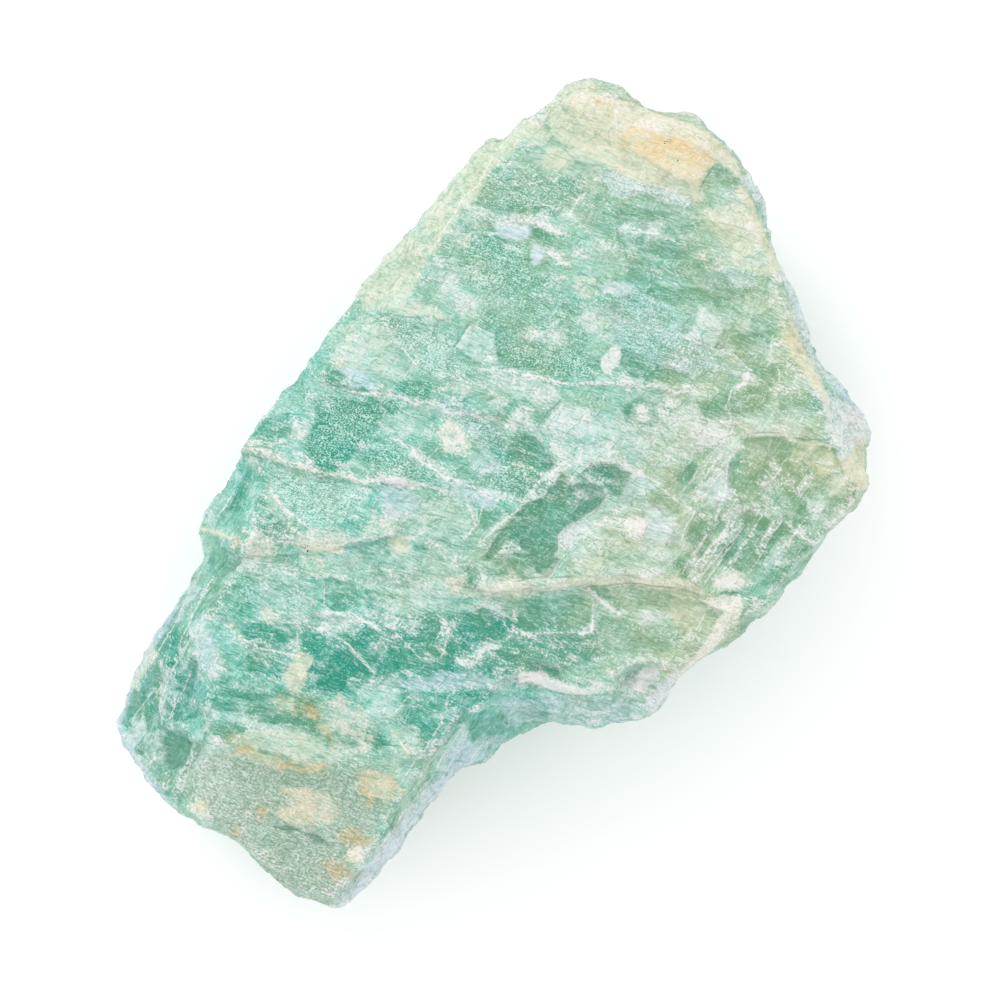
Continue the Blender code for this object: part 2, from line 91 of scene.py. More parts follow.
# Patches of the face: how strong each kind of mark is in them, from 0 to 1, and then the corners
# of each patch. A rise lifts or sinks them, in millimetres.
PATCHES = [
    # Bevel of the upper left, and the upper end below the tablet
    ({"milk": 0.6, "cream": 0.4}, [(-2.4, 34.4), (0.4, 35.2), (3.6, 38), (4.2, 37.4), (1.6, 34.2),
     (-0.6, 32.6), (-1.8, 29.6), (-4, 28), (-5.6, 25.4), (-7, 23.4), (-8.6, 19.5), (-14.5, 19.5)]),
    ({"clear": 0.55, "grain": 0.6}, [(0.1, 33), (3.6, 32.2), (5.6, 31), (8.6, 31.6), (8.8, 30.2),
     (6, 27.8), (3.4, 28.2), (0, 28.2), (-1.8, 28.8), (-1.6, 30.4)]),
    ({"crush": 0.55, "milk": 0.65}, [(-2, 28.4), (0.3, 27.6), (3, 27.9), (5, 27.2), (6.6, 26.2),
     (4.6, 26.8), (2, 26.9), (0.2, 26.8)]),
    ({"clear": 0.85}, [(3.2, 29.2), (5.2, 29.4), (5.8, 28.2), (3.8, 28)]),
    ({"crush": 0.4, "cream": 0.3, "milk": 0.4}, [(8, 31.6), (9.6, 32.2), (10.6, 31), (9.8, 29.8),
     (8.4, 30.2)]),
    ({"blue": 1, "milk": 0.9, "rise": 0.1}, [(-0.2, 26), (0.6, 26.9), (3.8, 26.5), (4, 25.8),
     (2.4, 25.1), (1, 25.6)]),
    ({"clear": 0.55}, [(3.3, 26.9), (4.6, 26.8), (6, 25.6), (5.4, 24.9), (3.6, 26)]),
    ({"clear": 0.28, "grain": 1}, [(-3.2, 27.8), (-0.6, 27), (0.4, 25.6), (3.2, 24.8), (3.6, 22.4),
     (5, 21), (0, 20.2), (-3.6, 21.4), (-3.4, 23.4)]),
    ({"blue": 0.9, "milk": 0.9, "rise": 0.1}, [(3.6, 24.8), (5, 24.6), (4.8, 23.4), (4, 22.6),
     (3.4, 23.2)]),
    ({"crush": 0.8}, [(5, 24.8), (6.4, 24.2), (7.8, 22.8), (7, 22.6), (5.2, 23.8)], [(7.8, 24.7),
     (9, 24.4), (9.6, 23.6), (9, 23.4)], [(10.2, 25.6), (11.4, 24.6), (11.6, 24.2), (10.6, 24.8)]),
    ({"crush": 0.6}, [(8.2, 26.8), (9, 27), (9.6, 26), (9.2, 25.8)]),
    ({"clear": 0.5}, [(10, 30), (12, 29.6), (14, 28.4), (20, 28), (20.4, 26.4), (18, 25.6),
     (16.5, 26.3), (13, 27.2), (10, 28.4)]),
    ({"clear": 0.3}, [(12.5, 26), (14, 26.1), (16.4, 25.4), (20, 24.4), (22, 23.6), (21, 21.4),
     (16, 21), (12.4, 22.4)]),
    ({"blue": 0.4, "milk": 0.5, "crush": 0.35, "grain": 1, "rise": 0.1}, [(10.5, 31.8), (12, 32),
     (14, 31.4), (18, 30.2), (19.6, 29.4), (19.8, 28.8), (17, 29), (15, 29.8), (13, 29.6),
     (11.5, 30.4)]),
    ({"cream": 0.5, "milk": 0.5, "crush": 0.2}, [(5.2, 38.6), (8, 37.6), (11, 35.4), (12, 35),
     (14, 34.4), (18, 32.6), (20.6, 30.2), (20.6, 29.2), (17, 30.4), (13, 31.6), (10, 33.4),
     (8, 34.4), (5.4, 36.2)]),
    ({"clear": 0.4}, [(12.4, 34.2), (15.4, 33), (17.6, 31.8), (16, 31.4), (13, 32.4)]),
    ({"milk": 0.6, "cream": 0.4, "crush": 0.3}, [(20.8, 28.2), (24.4, 28.8), (26.2, 26.2),
     (27.4, 23.6), (28, 21.8), (26, 22.2), (24.4, 22.6), (22.6, 23.4), (23.6, 24.6),
     (21.6, 26.4)]),
    # Cream tablet on the upper end, and the cream rim on the right
    ({"cream": 0.6, "milk": 0.6, "crush": 0.4, "rise": 0.1}, [(7, 38.6), (9, 40.2), (11, 39.4),
     (13.5, 39), (15.5, 38.2), (17.4, 37.3), (20, 36.9), (21, 36.4), (22.5, 34.8), (23.8, 33.4),
     (24.6, 31.4), (22.4, 33.2), (19, 35), (13.4, 36.6), (12.2, 34.8), (10.4, 35.8), (8.4, 37.2)]),
    ({"cream": 0.9, "rust": 0.3, "rise": 0.1}, [(13.2, 36.8), (16, 36.2), (19, 35.2), (22, 33.2),
     (21.2, 32.2), (20.2, 30.5), (18, 31.7), (15, 33.4), (12.4, 34.8)]),
    ({"milk": 0.7, "cream": 0.35}, [(5, 38.4), (7.2, 41.2), (9.6, 41.4), (10.4, 39.8), (8.8, 39.8),
     (7.2, 38.4)]),
    ({"rust": 0.6}, [(17.2, 35.4), (19, 35), (21.2, 34), (22, 33.1), (20.6, 33.3), (18.4, 34.1),
     (17, 34.7)]),
    ({"rust": 0.45}, [(9.4, 39.7), (11, 39.2), (11.8, 38.3), (10.4, 38.7)]),
    ({"rust": 0.3}, [(13.8, 35.3), (15.4, 35.2), (16, 34.4), (14.4, 34.5)]),
    ({"clear": 0.45}, [(22.2, 33), (22.8, 33.2), (24, 31.4), (24, 30.6), (22.8, 30.8),
     (22, 31.8)]),
    ({"cream": 0.75, "crush": 0.3}, [(24.4, 30.8), (25.6, 29.4), (26.6, 26.8), (27.6, 24.4),
     (28.3, 22.4), (27.4, 22.2), (26.2, 25.4), (25.4, 28.4), (24, 30.2)], [(34.8, 3.4),
     (36.6, 5.6), (38, 6.2), (37.2, 4), (37.2, 1.6), (36.8, 0.2), (34.8, 2)]),
    ({"cream": 0.75, "crush": 0.35}, [(29.7, 16.8), (30.5, 15.2), (31.2, 13.6), (32.4, 11.4),
     (33.4, 8.8), (33.4, 7.8), (32.4, 9.6), (31, 11.6), (29.6, 13.8), (29, 15.6)]),
    ({"milk": 0.5, "cream": 0.2}, [(28.2, 22), (29, 19.6), (29.8, 17), (28.6, 16.4), (27.8, 19),
     (27.4, 21.4)]),
    ({"cream": 0.45, "crush": 0.35}, [(28.4, 16.6), (29.6, 17), (30.4, 15.2), (29.6, 14.2),
     (28.6, 15.2)]),
    ({"milk": 0.95, "blue": 0.5, "crush": 0.3, "rise": 0.1}, [(10, 20.9), (11.4, 21.3),
     (13.2, 21.1), (14.4, 20.6), (13.8, 19.9), (12.2, 19.8), (11, 20.2)]),
    ({"milk": 0.4}, [(10.6, 19), (12.6, 19.2), (13, 17.6), (11.2, 17)]),
    ({"crush": 0.4, "cream": 0.2, "milk": 0.3}, [(8, 21.4), (9.6, 21.8), (10.4, 20.6), (9.2, 19.6),
     (8.2, 20.2)]),
    ({"grain": 0.6, "clear": 0.25}, [(0, 20.4), (5, 21.2), (8, 19.4), (9, 15.4), (0.4, 15.8),
     (-2, 17.2)]),
    ({"blue": 1, "milk": 1, "crush": 0.35}, [(24.9, 31.6), (27.1, 27.8), (28.3, 22.9), (29, 20.6),
     (29.8, 18), (30.8, 15.4), (32.2, 12.8), (34, 10.2), (36.4, 9.6), (34.6, 13), (33, 16.6),
     (31.4, 21.2), (29.4, 27), (28.6, 30), (26.4, 33)]),
    ({"blue": 0.6, "cream": 0.2, "milk": 1, "crush": 0.6}, [(31.8, 10.4), (34.2, 9.6), (36.8, 8.2),
     (38.2, 6), (36.2, 5), (34.8, 3.4), (33.4, 5.4), (33.2, 8)]),
    # Left of the middle: grained teal ground with pale plates
    ({"grain": 0.1}, [(-24, 4), (-18, 12), (-8, 20), (0, 31), (9, 31), (21, 27), (22, 12),
     (12, 10), (2, 4), (-5, -4), (-24, -5)]),
    ({"cream": 0.3, "milk": 0.8}, [(-13.4, 20.6), (-11, 21), (-9.4, 20.8), (-8.4, 19.4),
     (-5.6, 18.2), (-4, 17.3), (-7, 17.8), (-10, 18.1), (-13, 18.8)]),
    ({"grain": 0.9, "milk": 0.2}, [(-13, 18.4), (-11, 18), (-7, 17.4), (-4, 16), (-3.8, 14.4),
     (-1.8, 13), (-1.6, 11.4), (-5, 10.8), (-8, 13.2), (-12, 17)]),
    ({"milk": 0.95, "rise": 0.2}, [(-2.6, 16.8), (0.1, 15.8), (0.2, 13.1), (-1.2, 13),
     (-3.8, 14.6)]),
    ({"milk": 0.8}, [(-13.6, 14.2), (-9.8, 12.6), (-8.2, 12.4), (-8.6, 11.4), (-11, 11.6),
     (-14, 13)]),
    ({"milk": 0.7, "crush": 0.4}, [(-17.4, 14.8), (-14.4, 15), (-13.6, 13), (-15.6, 13.2)]),
    ({"milk": 0.7, "crush": 0.3}, [(-11.2, 7.4), (-9, 8.2), (-7.8, 7.2), (-8.6, 5.8), (-11, 6)]),
    ({"milk": 0.1}, [(-20.6, 9), (-18, 10.2), (-16.6, 10), (-17.8, 7.6), (-18.6, 5.4),
     (-20.4, 4.8)]),
    ({"milk": 0.4, "cream": 0.15}, [(-16.6, 16), (-12, 17.4), (-9.6, 14), (-10, 11.6),
     (-15.6, 12.8)]),
    ({"clear": 0.6}, [(-16.6, 12.6), (-15.4, 12.2), (-14, 10.9), (-12, 10.4), (-11.4, 10.2),
     (-14.2, 10.2), (-16.8, 11.2)], [(-17, -8.6), (-14.4, -8.2), (-13.6, -10.6), (-15.6, -11.6),
     (-17, -11.2)]),
    ({"blue": 0.9, "milk": 0.8}, [(-15.4, 12.4), (-13.6, 12.2), (-12.2, 11.2), (-11.6, 10.4),
     (-13.4, 10.9), (-14.6, 11.6)]),
    ({"clear": 0.85, "grain": 0.9}, [(-9.8, 11), (-8, 11.2), (-6.6, 10.9), (-6.2, 9.6), (-8, 9.6),
     (-9.6, 10.2)]),
    ({"clear": 0.85, "grain": 1}, [(-18, 9.6), (-16.2, 9.9), (-12.6, 9.6), (-10.2, 9.4),
     (-9.4, 8.4), (-11.2, 8), (-12, 6), (-12.8, 4.8), (-14.4, 4.4), (-15.2, 2.4), (-17.6, 2.2),
     (-18.6, 3.4), (-19, 5.6), (-17.6, 7.4)]),
    ({"clear": 0.7}, [(-13.2, 9.8), (-10, 9.7), (-9.2, 8.8), (-10, 8.2), (-12.2, 8.4)]),
    ({"crush": 0.85}, [(-14.4, 6.2), (-12.8, 4.8), (-13.2, 4.5), (-14.8, 6)]),
    ({"crush": 0.75}, [(-16, 3.4), (-14.4, 2.6), (-14, 2), (-15.8, 2.6)]),
    ({"crush": 0.6, "cream": 0.3}, [(-24.8, 4.8), (-22.4, 4.6), (-20.2, 3.4), (-17.2, 2.4),
     (-14, 1.8), (-13.8, 1.2), (-17, 1.7), (-20, 2.6), (-22, 3.4), (-24.8, 4.2)]),
    ({"clear": 0.65}, [(-22.6, 8), (-20.6, 8.2), (-20.2, 6), (-22, 5.4), (-23.6, 6.2)]),
    ({"milk": 0.55, "crush": 0.2}, [(-17, 1.2), (-15.2, 1.6), (-14.4, 0.4), (-15.8, -0.4),
     (-17, 0)]),
    ({"crush": 0.65, "milk": 0.7}, [(-24.4, -3.6), (-22, -3), (-19.8, -3.6), (-20.2, -5),
     (-22.6, -4.6), (-24.4, -5.2)]),
    ({"milk": 0.55, "crush": 0.3}, [(-24.8, 3.8), (-23, 4.6), (-22, 3.4), (-22.6, 2.2),
     (-24, 2.4)]),
    ({"milk": 0.6}, [(-23.4, 8.4), (-20.6, 10.6), (-20, 8.8), (-23, 7.6)]),
    ({"clear": 0.75}, [(-26.6, -1.2), (-25.8, 0.4), (-23.6, 3.6), (-23, 3.4), (-24.4, 0.8),
     (-25.6, -2)]),
    ({"milk": 0.4}, [(-28.8, -2.6), (-27.4, 0), (-26.4, -0.4), (-27.8, -3)]),
    ({"grain": 1, "milk": 0.65}, [(-23, 3), (-20, 2.4), (-14, 0.8), (-12.4, 0.6), (-13.6, -1.8),
     (-16, -2.6), (-17, -4), (-19.6, -3.4), (-22, -0.8)]),
    ({"grain": 0.9, "clear": 0.5}, [(-23.6, -0.6), (-21.6, -1.4), (-19.6, -4), (-21, -4.6),
     (-23.8, -4)]),
    ({"grain": 1, "clear": 0.3}, [(-12, 5.4), (-9.4, 5), (-7, 3), (-5, 1), (-8, 1.2), (-12, 1.6),
     (-13, 3.4)]),
    ({"grain": 1, "clear": 0.45, "blue": 0.3}, [(-6, 9.8), (-3, 8.6), (0.6, 7), (1, 4.6), (0, 4),
     (-2.6, 6.2), (-3.8, 7.6)]),
    ({"crush": 0.65, "cream": 0.3, "milk": 0.7}, [(-5.6, 6.2), (-4.6, 7.2), (-3.6, 6.6), (-2.4, 5),
     (-3.6, 4), (-5, 4.6)]),
    ({"milk": 0.6, "blue": 0.5}, [(-5, 1.6), (-1.6, 0.8), (0.6, -0.6), (-0.6, -1.4), (-3, -0.4),
     (-5.4, 0.2)]),
    ({"milk": 0.8, "blue": 0.35}, [(-2.4, 3.8), (-0.8, 4.6), (0.4, 3.6), (0.2, 2.2), (-1.4, 1.8),
     (-2.4, 2.6)]),
    ({"clear": 0.45}, [(-2.4, -0.6), (-0.2, -0.6), (0.6, -2), (-0.8, -3.6), (-1.6, -2.8)],
     [(-28, -9), (-25.6, -9.4), (-24.2, -11.4), (-25, -13.2), (-27, -12.6)]),
    ({"crush": 0.55, "cream": 0.4, "milk": 0.8}, [(-24.2, -4), (-22.6, -4.4), (-21.8, -5.6),
     (-22.4, -6.4), (-23.6, -6.2), (-24.8, -6)]),
    ({"cream": 0.6, "crush": 0.4}, [(-20, -4.6), (-15.4, -4.8), (-15.2, -5.8), (-18, -5.8),
     (-20, -5.2)]),
    ({"milk": 0.5, "clear": 0.15}, [(-24.4, -6.4), (-20.6, -6.2), (-19.2, -7.6), (-19, -10),
     (-21, -10.6), (-23.6, -10), (-25.8, -7.4)]),
    ({"clear": 0.9}, [(-9.6, -7.6), (-7.4, -7.8), (-7.6, -9.4), (-9.4, -9.2)], [(-13, -10.3),
     (-11.6, -9.8), (-10.5, -10.4), (-10.4, -11.6), (-11.4, -12.3), (-12.6, -12)]),
    ({"clear": 0.8}, [(-13, -9.6), (-10, -9.8), (-10.2, -11.4), (-12.6, -11.6)]),
    ({"crush": 0.6, "cream": 0.4, "milk": 0.7}, [(-23.6, -11.2), (-22, -11.4), (-21.8, -12.4),
     (-23, -13)]),
    # Middle: pale plates, the sunk recess and the crushed seams round them
    ({"milk": 0.8, "crush": 0.45}, [(-1.6, 11.2), (0.4, 12.4), (3, 11.8), (3.4, 10.2), (5.6, 11),
     (6.4, 10.4), (5.4, 8.6), (4.2, 8.4), (3.6, 9.6), (1, 10.4), (-1, 10)]),
    ({"milk": 0.95, "rise": 0.15}, [(-0.9, 9), (0.4, 9.8), (1.4, 9.2), (0.6, 8.2)]),
    ({"milk": 0.45}, [(0.6, 6.6), (1.8, 6.8), (2.6, 5.9), (1.6, 4.9), (0.6, 5.2)], [(12, 7.6),
     (14.4, 5.8), (15.6, 4), (14, 2.6), (12.6, 3.4)], [(-13, -10.4), (-9, -9.6), (-4, -9.8),
     (-2.4, -10.6), (-5.6, -11.3), (-9, -11.8), (-11, -12.2), (-13.4, -12.2)]),
    ({"crush": 0.6, "milk": 0.8}, [(0.9, 6.9), (2, 8.4), (3.2, 8.8), (4, 7.6), (3.2, 6.6)]),
    ({"milk": 0.8, "blue": 0.2, "rise": 0.1}, [(4.6, 6.6), (6.2, 9), (9.2, 8.6), (11.2, 7.4),
     (12, 6), (12.4, 4.2), (9.8, 3.8), (8.4, 5.2), (6.4, 5.6)]),
    ({"clear": 0.6, "grain": 0.8}, [(0.4, 4.6), (4.4, 2.4), (3.6, 1), (3, -0.2), (0.4, 0.6),
     (-0.4, 2.4)]),
    ({"clear": 0.9, "rise": -0.15}, [(2.4, 6), (4, 5.6), (5.2, 4), (6, 3), (5.6, 2.4), (4.4, 2.4),
     (1.4, 4), (1.4, 5)]),
    ({"clear": 0.8}, [(2.2, 1.2), (3.4, 1.2), (3, -0.4), (2, -0.2)]),
    ({"crush": 0.45, "milk": 0.5}, [(5.2, 5.6), (6, 4.4), (6.4, 2.8), (7.2, 2.2), (8.8, 2.8),
     (9.4, 3.6), (8.6, 4.6), (7, 5.4), (6, 6)]),
    ({"crush": 0.4}, [(3.2, -0.4), (4.8, 0.4), (7, 2.6), (6.6, 3.4), (4.6, 1.4), (3.2, 0.2)]),
    ({"clear": 0.9}, [(3.2, 1.6), (4.6, 2.2), (5.4, 1.2), (4.4, 0), (3.2, 0.2)]),
    ({"clear": 0.75, "rise": -0.2}, [(8.4, 1.6), (9.4, 3), (10.4, 3.2), (11.6, 3), (12.4, 2.4),
     (13.6, 2), (13.2, 1), (12.2, -0.1), (11, 0.2), (9.6, 1)]),
    ({"clear": 0.75}, [(8, 1.6), (9.2, 2), (10.4, 1.2), (10.2, 0), (8.6, 0.2)], [(18.2, 1.6),
     (19.6, 3.4), (20.4, 2.8), (19.4, 1)]),
    ({"milk": 0.6, "blue": 0.3}, [(9.2, -1.9), (8.2, -2.6), (7.4, -3.4), (6.5, -4), (6.8, -4.8),
     (7.8, -4.6), (9, -3)]),
    ({"milk": 0.25}, [(7.4, 2.6), (8.6, 2.2), (10, 0.6), (10.8, -0.2), (9.8, -0.6), (8.6, 0.2),
     (7.6, 0.8)]),
    ({"clear": 1}, [(9.5, 2.4), (10.2, 3), (12, 2.6), (11.6, 1.7), (10.2, 1.6)], [(2.8, 4.4),
     (4.4, 4.4), (5.4, 3.4), (4.8, 2.5), (3.4, 2.8)], [(-1.2, -6.4), (0.4, -4), (1.4, -2.8),
     (2.8, -2.6), (2.6, -3.8), (1, -4.4), (-0.6, -6.6)], [(3.4, -4.4), (5.8, -4.8), (5.8, -6.2),
     (5.2, -7.8), (4.2, -7.2), (3, -5.2)]),
    ({"clear": 0.85, "rise": -0.4}, [(-1.2, -6.4), (0.6, -3.6), (1.4, -2.6), (2.6, -1.2),
     (3.4, -0.8), (4.8, -0.2), (5.6, 0.6), (6.7, 2), (7.2, 1.6), (7.5, 0.6), (8.2, 0.9), (9.4, 1),
     (10.2, 0.6), (11, 0.1), (10.4, -1), (9.2, -1.8), (8.2, -2.4), (7.4, -3.2), (6.4, -3.8),
     (6.2, -4.8), (6, -6.2), (6.6, -6.4), (5.2, -8.2), (4, -7.6), (3.6, -6.6), (2.6, -5.2),
     (2.6, -4.4), (0.8, -4.6), (0.2, -6)]),
    ({"clear": 0.35, "milk": 0.3, "crush": 0.15, "rise": -0.2}, [(0.4, -6), (3, -5.6), (3.6, -6.8),
     (4, -8.2), (0, -8.8), (-0.6, -7.8)]),
    ({"clear": 0.6, "milk": 0.1}, [(-0.6, -5.6), (0.6, -4.4), (3, -4.2), (3.8, -6.8), (3, -8.4),
     (0.6, -8.2), (-0.4, -7)]),
    ({"milk": 0.3}, [(7.2, 1), (8.4, 1.4), (8.5, 2.4), (7.4, 2.4)]),
    ({"milk": 0.35}, [(10.8, -0.2), (12.8, -0.6), (13.4, -1.2), (17.6, -1.6), (18.4, -3.4),
     (19, -5), (17.4, -6.6), (15.6, -8.4), (7.6, -8), (6.4, -5.8), (6.6, -4.6), (8.6, -2.8),
     (10.4, -1.4)]),
    ({"milk": 0.65, "blue": 0.4}, [(13.2, 1.2), (14.6, 1.8), (15.6, 0.8), (14.8, -0.4),
     (13.4, -0.2)]),
    ({"crush": 0.9}, [(12.8, -2.6), (14.4, -2.2), (15, -3.2), (14.2, -4.4), (12.8, -4)]),
    ({"crush": 0.7, "blue": 0.4}, [(6.2, -4.4), (7.2, -3.8), (8.8, -2.4), (8.2, -4), (7.4, -5.4),
     (6.6, -5)]),
    ({"milk": 0.8, "blue": 0.5}, [(14.8, -0.8), (17.2, -2), (17.8, -4), (15.4, -4.8), (15, -3)]),
    ({"clear": 0.85}, [(-3.2, -7), (-1.8, -6.8), (-1.4, -8.2), (-2.4, -8.8), (-3.8, -7.8)]),
    ({"cream": 0.65, "crush": 0.4}, [(-10.4, -4.6), (-9, -3.8), (-8.4, -4.4), (-8.8, -5.8),
     (-10, -6.2)]),
    ({"crush": 0.5, "cream": 0.4, "milk": 0.6}, [(-19.6, -3.8), (-18.2, -3.2), (-17, -4),
     (-17.8, -5.2), (-19.4, -4.9)]),
    ({"crush": 0.4, "cream": 0.35}, [(-19.4, -6), (-17.8, -5.6), (-16.8, -6.8), (-17.4, -8.2),
     (-19.2, -7.8)]),
    ({"crush": 0.4, "cream": 0.2}, [(-14, -1.8), (-11, -1), (-8.4, -2), (-9.6, -3.8), (-13, -4)]),
    ({"cream": 0.3, "crush": 0.45, "milk": 0.5}, [(-17.2, -3.6), (-15.6, -3), (-14.4, -4),
     (-15.2, -5.2), (-16.8, -5)]),
    ({"cream": 0.4, "crush": 0.5, "milk": 0.5}, [(-4.8, -8.6), (-3.4, -8.2), (-2.2, -9.2),
     (-2.6, -10.2), (-4.4, -10)]),
    ({"milk": 0.5, "crush": 0.2}, [(-6.6, 15.6), (-3.2, 15.6), (-1.6, 13.8), (-4, 12.6),
     (-6.8, 13.4)]),
    ({"milk": 0.7, "crush": 0.3}, [(-4.6, 11.4), (-3.2, 12), (-2, 11), (-2.8, 9.8), (-4.2, 10.2)]),
    ({"milk": 0.55, "crush": 0.3}, [(-24, -9.4), (-20, -9.8), (-18, -10.6), (-19, -12.4),
     (-22.6, -11.6)]),
    ({"milk": 0.5, "cream": 0.15}, [(-23, -0.4), (-22, -0.8), (-20.4, -2.6), (-18.6, -4.4),
     (-22, -5), (-23.6, -4)]),
    ({"blue": 0.8, "milk": 0.8}, [(-11.4, 0.6), (-8.6, 0.4), (-7.4, -0.8), (-8.4, -2.2),
     (-10.8, -2.6), (-11, -1)]),
    ({"crush": 0.8, "milk": 0.9}, [(-12.6, 1.8), (-9.4, 1.7), (-7, 1), (-8.4, 0.4), (-10.4, 0.8)]),
    ({"clear": 0.5, "crush": 0.25}, [(-12.6, -6.8), (-9.6, -7), (-7.2, -8.2), (-8.4, -9.2),
     (-12, -8.6)]),
    ({"clear": 0.35}, [(-7.8, -3.8), (-5, -4), (-4.2, -5.4), (-5, -7.2), (-7.4, -6.8),
     (-8.4, -5.2)], [(-13.6, -5.2), (-11, -4.4), (-10, -4.8), (-10.4, -5.8), (-13.2, -6.2)]),
    ({"milk": 0.7, "crush": 0.35}, [(-16.6, -6), (-14, -5.2), (-13.2, -6.4), (-15, -8.4),
     (-16.6, -7.8)]),
    ({"cream": 0.45, "crush": 0.5, "milk": 0.6}, [(-3, -9.8), (-0.6, -8.8), (4.6, -8.3), (8, -8.2),
     (8, -9.2), (4.6, -9.5), (1.6, -9.9), (-1.6, -10.2)]),
    ({"cream": 0.5, "crush": 0.5, "milk": 0.4}, [(8, -8.2), (14.6, -8.5), (18.6, -8.5),
     (20.4, -9.4), (20.2, -10.2), (18.4, -9.3), (14, -9.1), (8, -9)]),
    ({"crush": 0.35, "milk": 0.3}, [(-26, -6.2), (-19, -6.4), (-18.4, -9), (-19.4, -11.8),
     (-25, -10.4)]),
    ({"milk": 0.4}, [(-12.4, -5.4), (-6.4, -4), (-2.6, -5.8), (-3.8, -9), (-8, -9.6),
     (-12.4, -9.2)]),
    ({"milk": 0.5}, [(-9.6, -0.6), (-4, -0.8), (-1.8, -1.6), (-3, -4.6), (-5.4, -5.6), (-9, -4)]),
    # Right of the middle: sage and olive facets
    ({"grain": 1, "blue": 0.35, "clear": 0.2}, [(12, 20), (14, 20.4), (17, 18.4), (20, 15.4),
     (21.6, 14.4), (22.8, 12.8), (21.4, 12), (18, 12.6), (15, 13), (12, 15), (11.6, 17.4)]),
    ({"clear": 0.65}, [(12.6, 14.6), (15, 13.4), (18, 12.2), (19.6, 11.2), (16.6, 11.2),
     (13.6, 11.8), (12.4, 13.2)]),
    ({"clear": 0.45, "grain": 1}, [(0.4, 15.6), (4, 15), (8.6, 14.6), (10.2, 13), (9.6, 11.4),
     (6, 11.4), (3.6, 12.4), (0.6, 12.8)]),
    ({"clear": 0.7}, [(2.6, 13.8), (4.6, 14.2), (6.2, 13.4), (5.4, 12.2), (3, 12.6)], [(24, 9.6),
     (26, 10.8), (27.4, 9.8), (26.6, 8.4), (24.2, 8.8)]),
    ({"crush": 0.85, "rise": 0.15}, [(10.4, 13.6), (11.8, 14.9), (12.6, 14.4), (12.4, 12.8),
     (11.4, 11.8), (10.4, 12.6)]),
    ({"crush": 0.75}, [(12.8, 12.2), (13.8, 10.8), (13.4, 10.2), (12.4, 11.4)]),
    ({"milk": 1, "crush": 0.3, "rise": 0.15}, [(20.4, 18.9), (22.2, 17.4), (22.8, 16.2),
     (21.8, 14.8), (18.9, 15.6), (19.8, 16.8)]),
    ({"milk": 0.3, "cream": 0.15}, [(0.6, -7.6), (4, -8), (8, -7), (10.4, -6.4), (10, -8.2),
     (0, -8.8)]),
    ({"milk": 0.4, "cream": 0.35, "crush": 0.3}, [(22.4, 25.2), (24.6, 25.2), (27.6, 22.8),
     (26.8, 21.9), (23.8, 22.8)]),
    ({"crush": 0.45, "cream": 0.25}, [(20.4, 24), (22, 24.8), (23.2, 23.8), (22.6, 22.4),
     (20.8, 22.6)]),
    ({"clear": 0.45, "blue": 0.3}, [(20.8, 21.8), (23.6, 22.4), (25.6, 21.6), (25.8, 20.2),
     (23, 19.6), (21, 20.2)]),
    ({"cream": 0.5, "crush": 0.6}, [(24.6, 28.6), (25.8, 27.4), (26.8, 25.2), (26.4, 24.6),
     (25.2, 26), (24.2, 27.6)]),
    ({"clear": 0.5}, [(13, 20.2), (20, 20.6), (25, 19.8), (24.4, 18), (22.6, 18.6), (20.6, 19.4),
     (17.6, 18.8), (14.6, 20)], [(31.6, 1.8), (33.6, 1.4), (34.2, -0.6), (33, -2.6),
     (31.8, -0.6)]),
    ({"milk": 0.6, "cream": 0.2}, [(-4.6, 27.6), (-1.8, 28.4), (-0.8, 26), (-3.2, 24.6),
     (-4.8, 25.4)]),
    ({"milk": 0.5, "cream": 0.35}, [(5.6, 34.6), (9, 34), (10.4, 32.2), (7, 31.6), (5, 32.6)],
     [(3, 36), (4.4, 36.9), (5.4, 35.8), (4.8, 34.8), (3.4, 34.9)]),
    ({"milk": 0.6, "crush": 0.3}, [(12.6, 27.6), (16.4, 27), (17, 25.6), (14, 24.6),
     (12.4, 25.6)]),
    ({"clear": 0.55}, [(23.8, 15.6), (27.8, 16.4), (27.2, 13.4), (28.6, 12.2), (27.2, 10.6),
     (24.8, 12.4), (23.8, 14.2)], [(22.8, 9), (24.4, 9.6), (25.6, 8.4), (24.6, 7.4), (23, 7.4)],
     [(30, -4.6), (31.8, -5.2), (31, -6.8), (28.8, -9.4), (26.6, -9), (27.6, -6.6)], [(25, -10.6),
     (27, -10.2), (26, -12.4), (24.4, -13.6), (24.2, -12.4)]),
    ({"clear": 0.4}, [(21, 10.2), (23.8, 13), (24.8, 12.4), (23.6, 10.6), (22, 9.4)]),
    ({"clear": 0.85}, [(20.2, 9.2), (22.6, 9.8), (23.8, 10.2), (23, 8), (21.6, 7.2), (20.8, 7.6)],
     [(12.8, 8.8), (14.4, 9.6), (17, 9.2), (18, 8), (16.4, 7), (14.6, 6.8), (12.8, 7.4)],
     [(23.4, 4), (24.8, 4.6), (25.4, 3), (24.2, 1.8), (23.4, 2.4)], [(25.4, -3.8), (26.4, -2),
     (27.6, -2.4), (26.8, -4.4), (25.8, -4.4)], [(29.2, -3.6), (31, -4.2), (31.8, -5.4),
     (30, -6.4), (28.6, -5.2)], [(22, -9.8), (24, -9.5), (25.4, -9.8), (23.4, -10.2)]),
    ({"clear": 0.45}, [(28.4, 9.8), (32.6, 10), (32.8, 8.6), (30.6, 7.4), (28.2, 7.6)], [(15, 8.8),
     (16.8, 9), (17.2, 7.2), (15.6, 6.8)], [(19.4, -5.8), (23.6, -6), (27, -8.4), (32.4, -5),
     (34, -1), (31.4, 1.8), (24, 1), (20, -2)]),
    ({"milk": 0.6, "crush": 0.35}, [(27.6, 6.8), (29.4, 7), (30.8, 6.2), (29.4, 5.3), (28, 6)]),
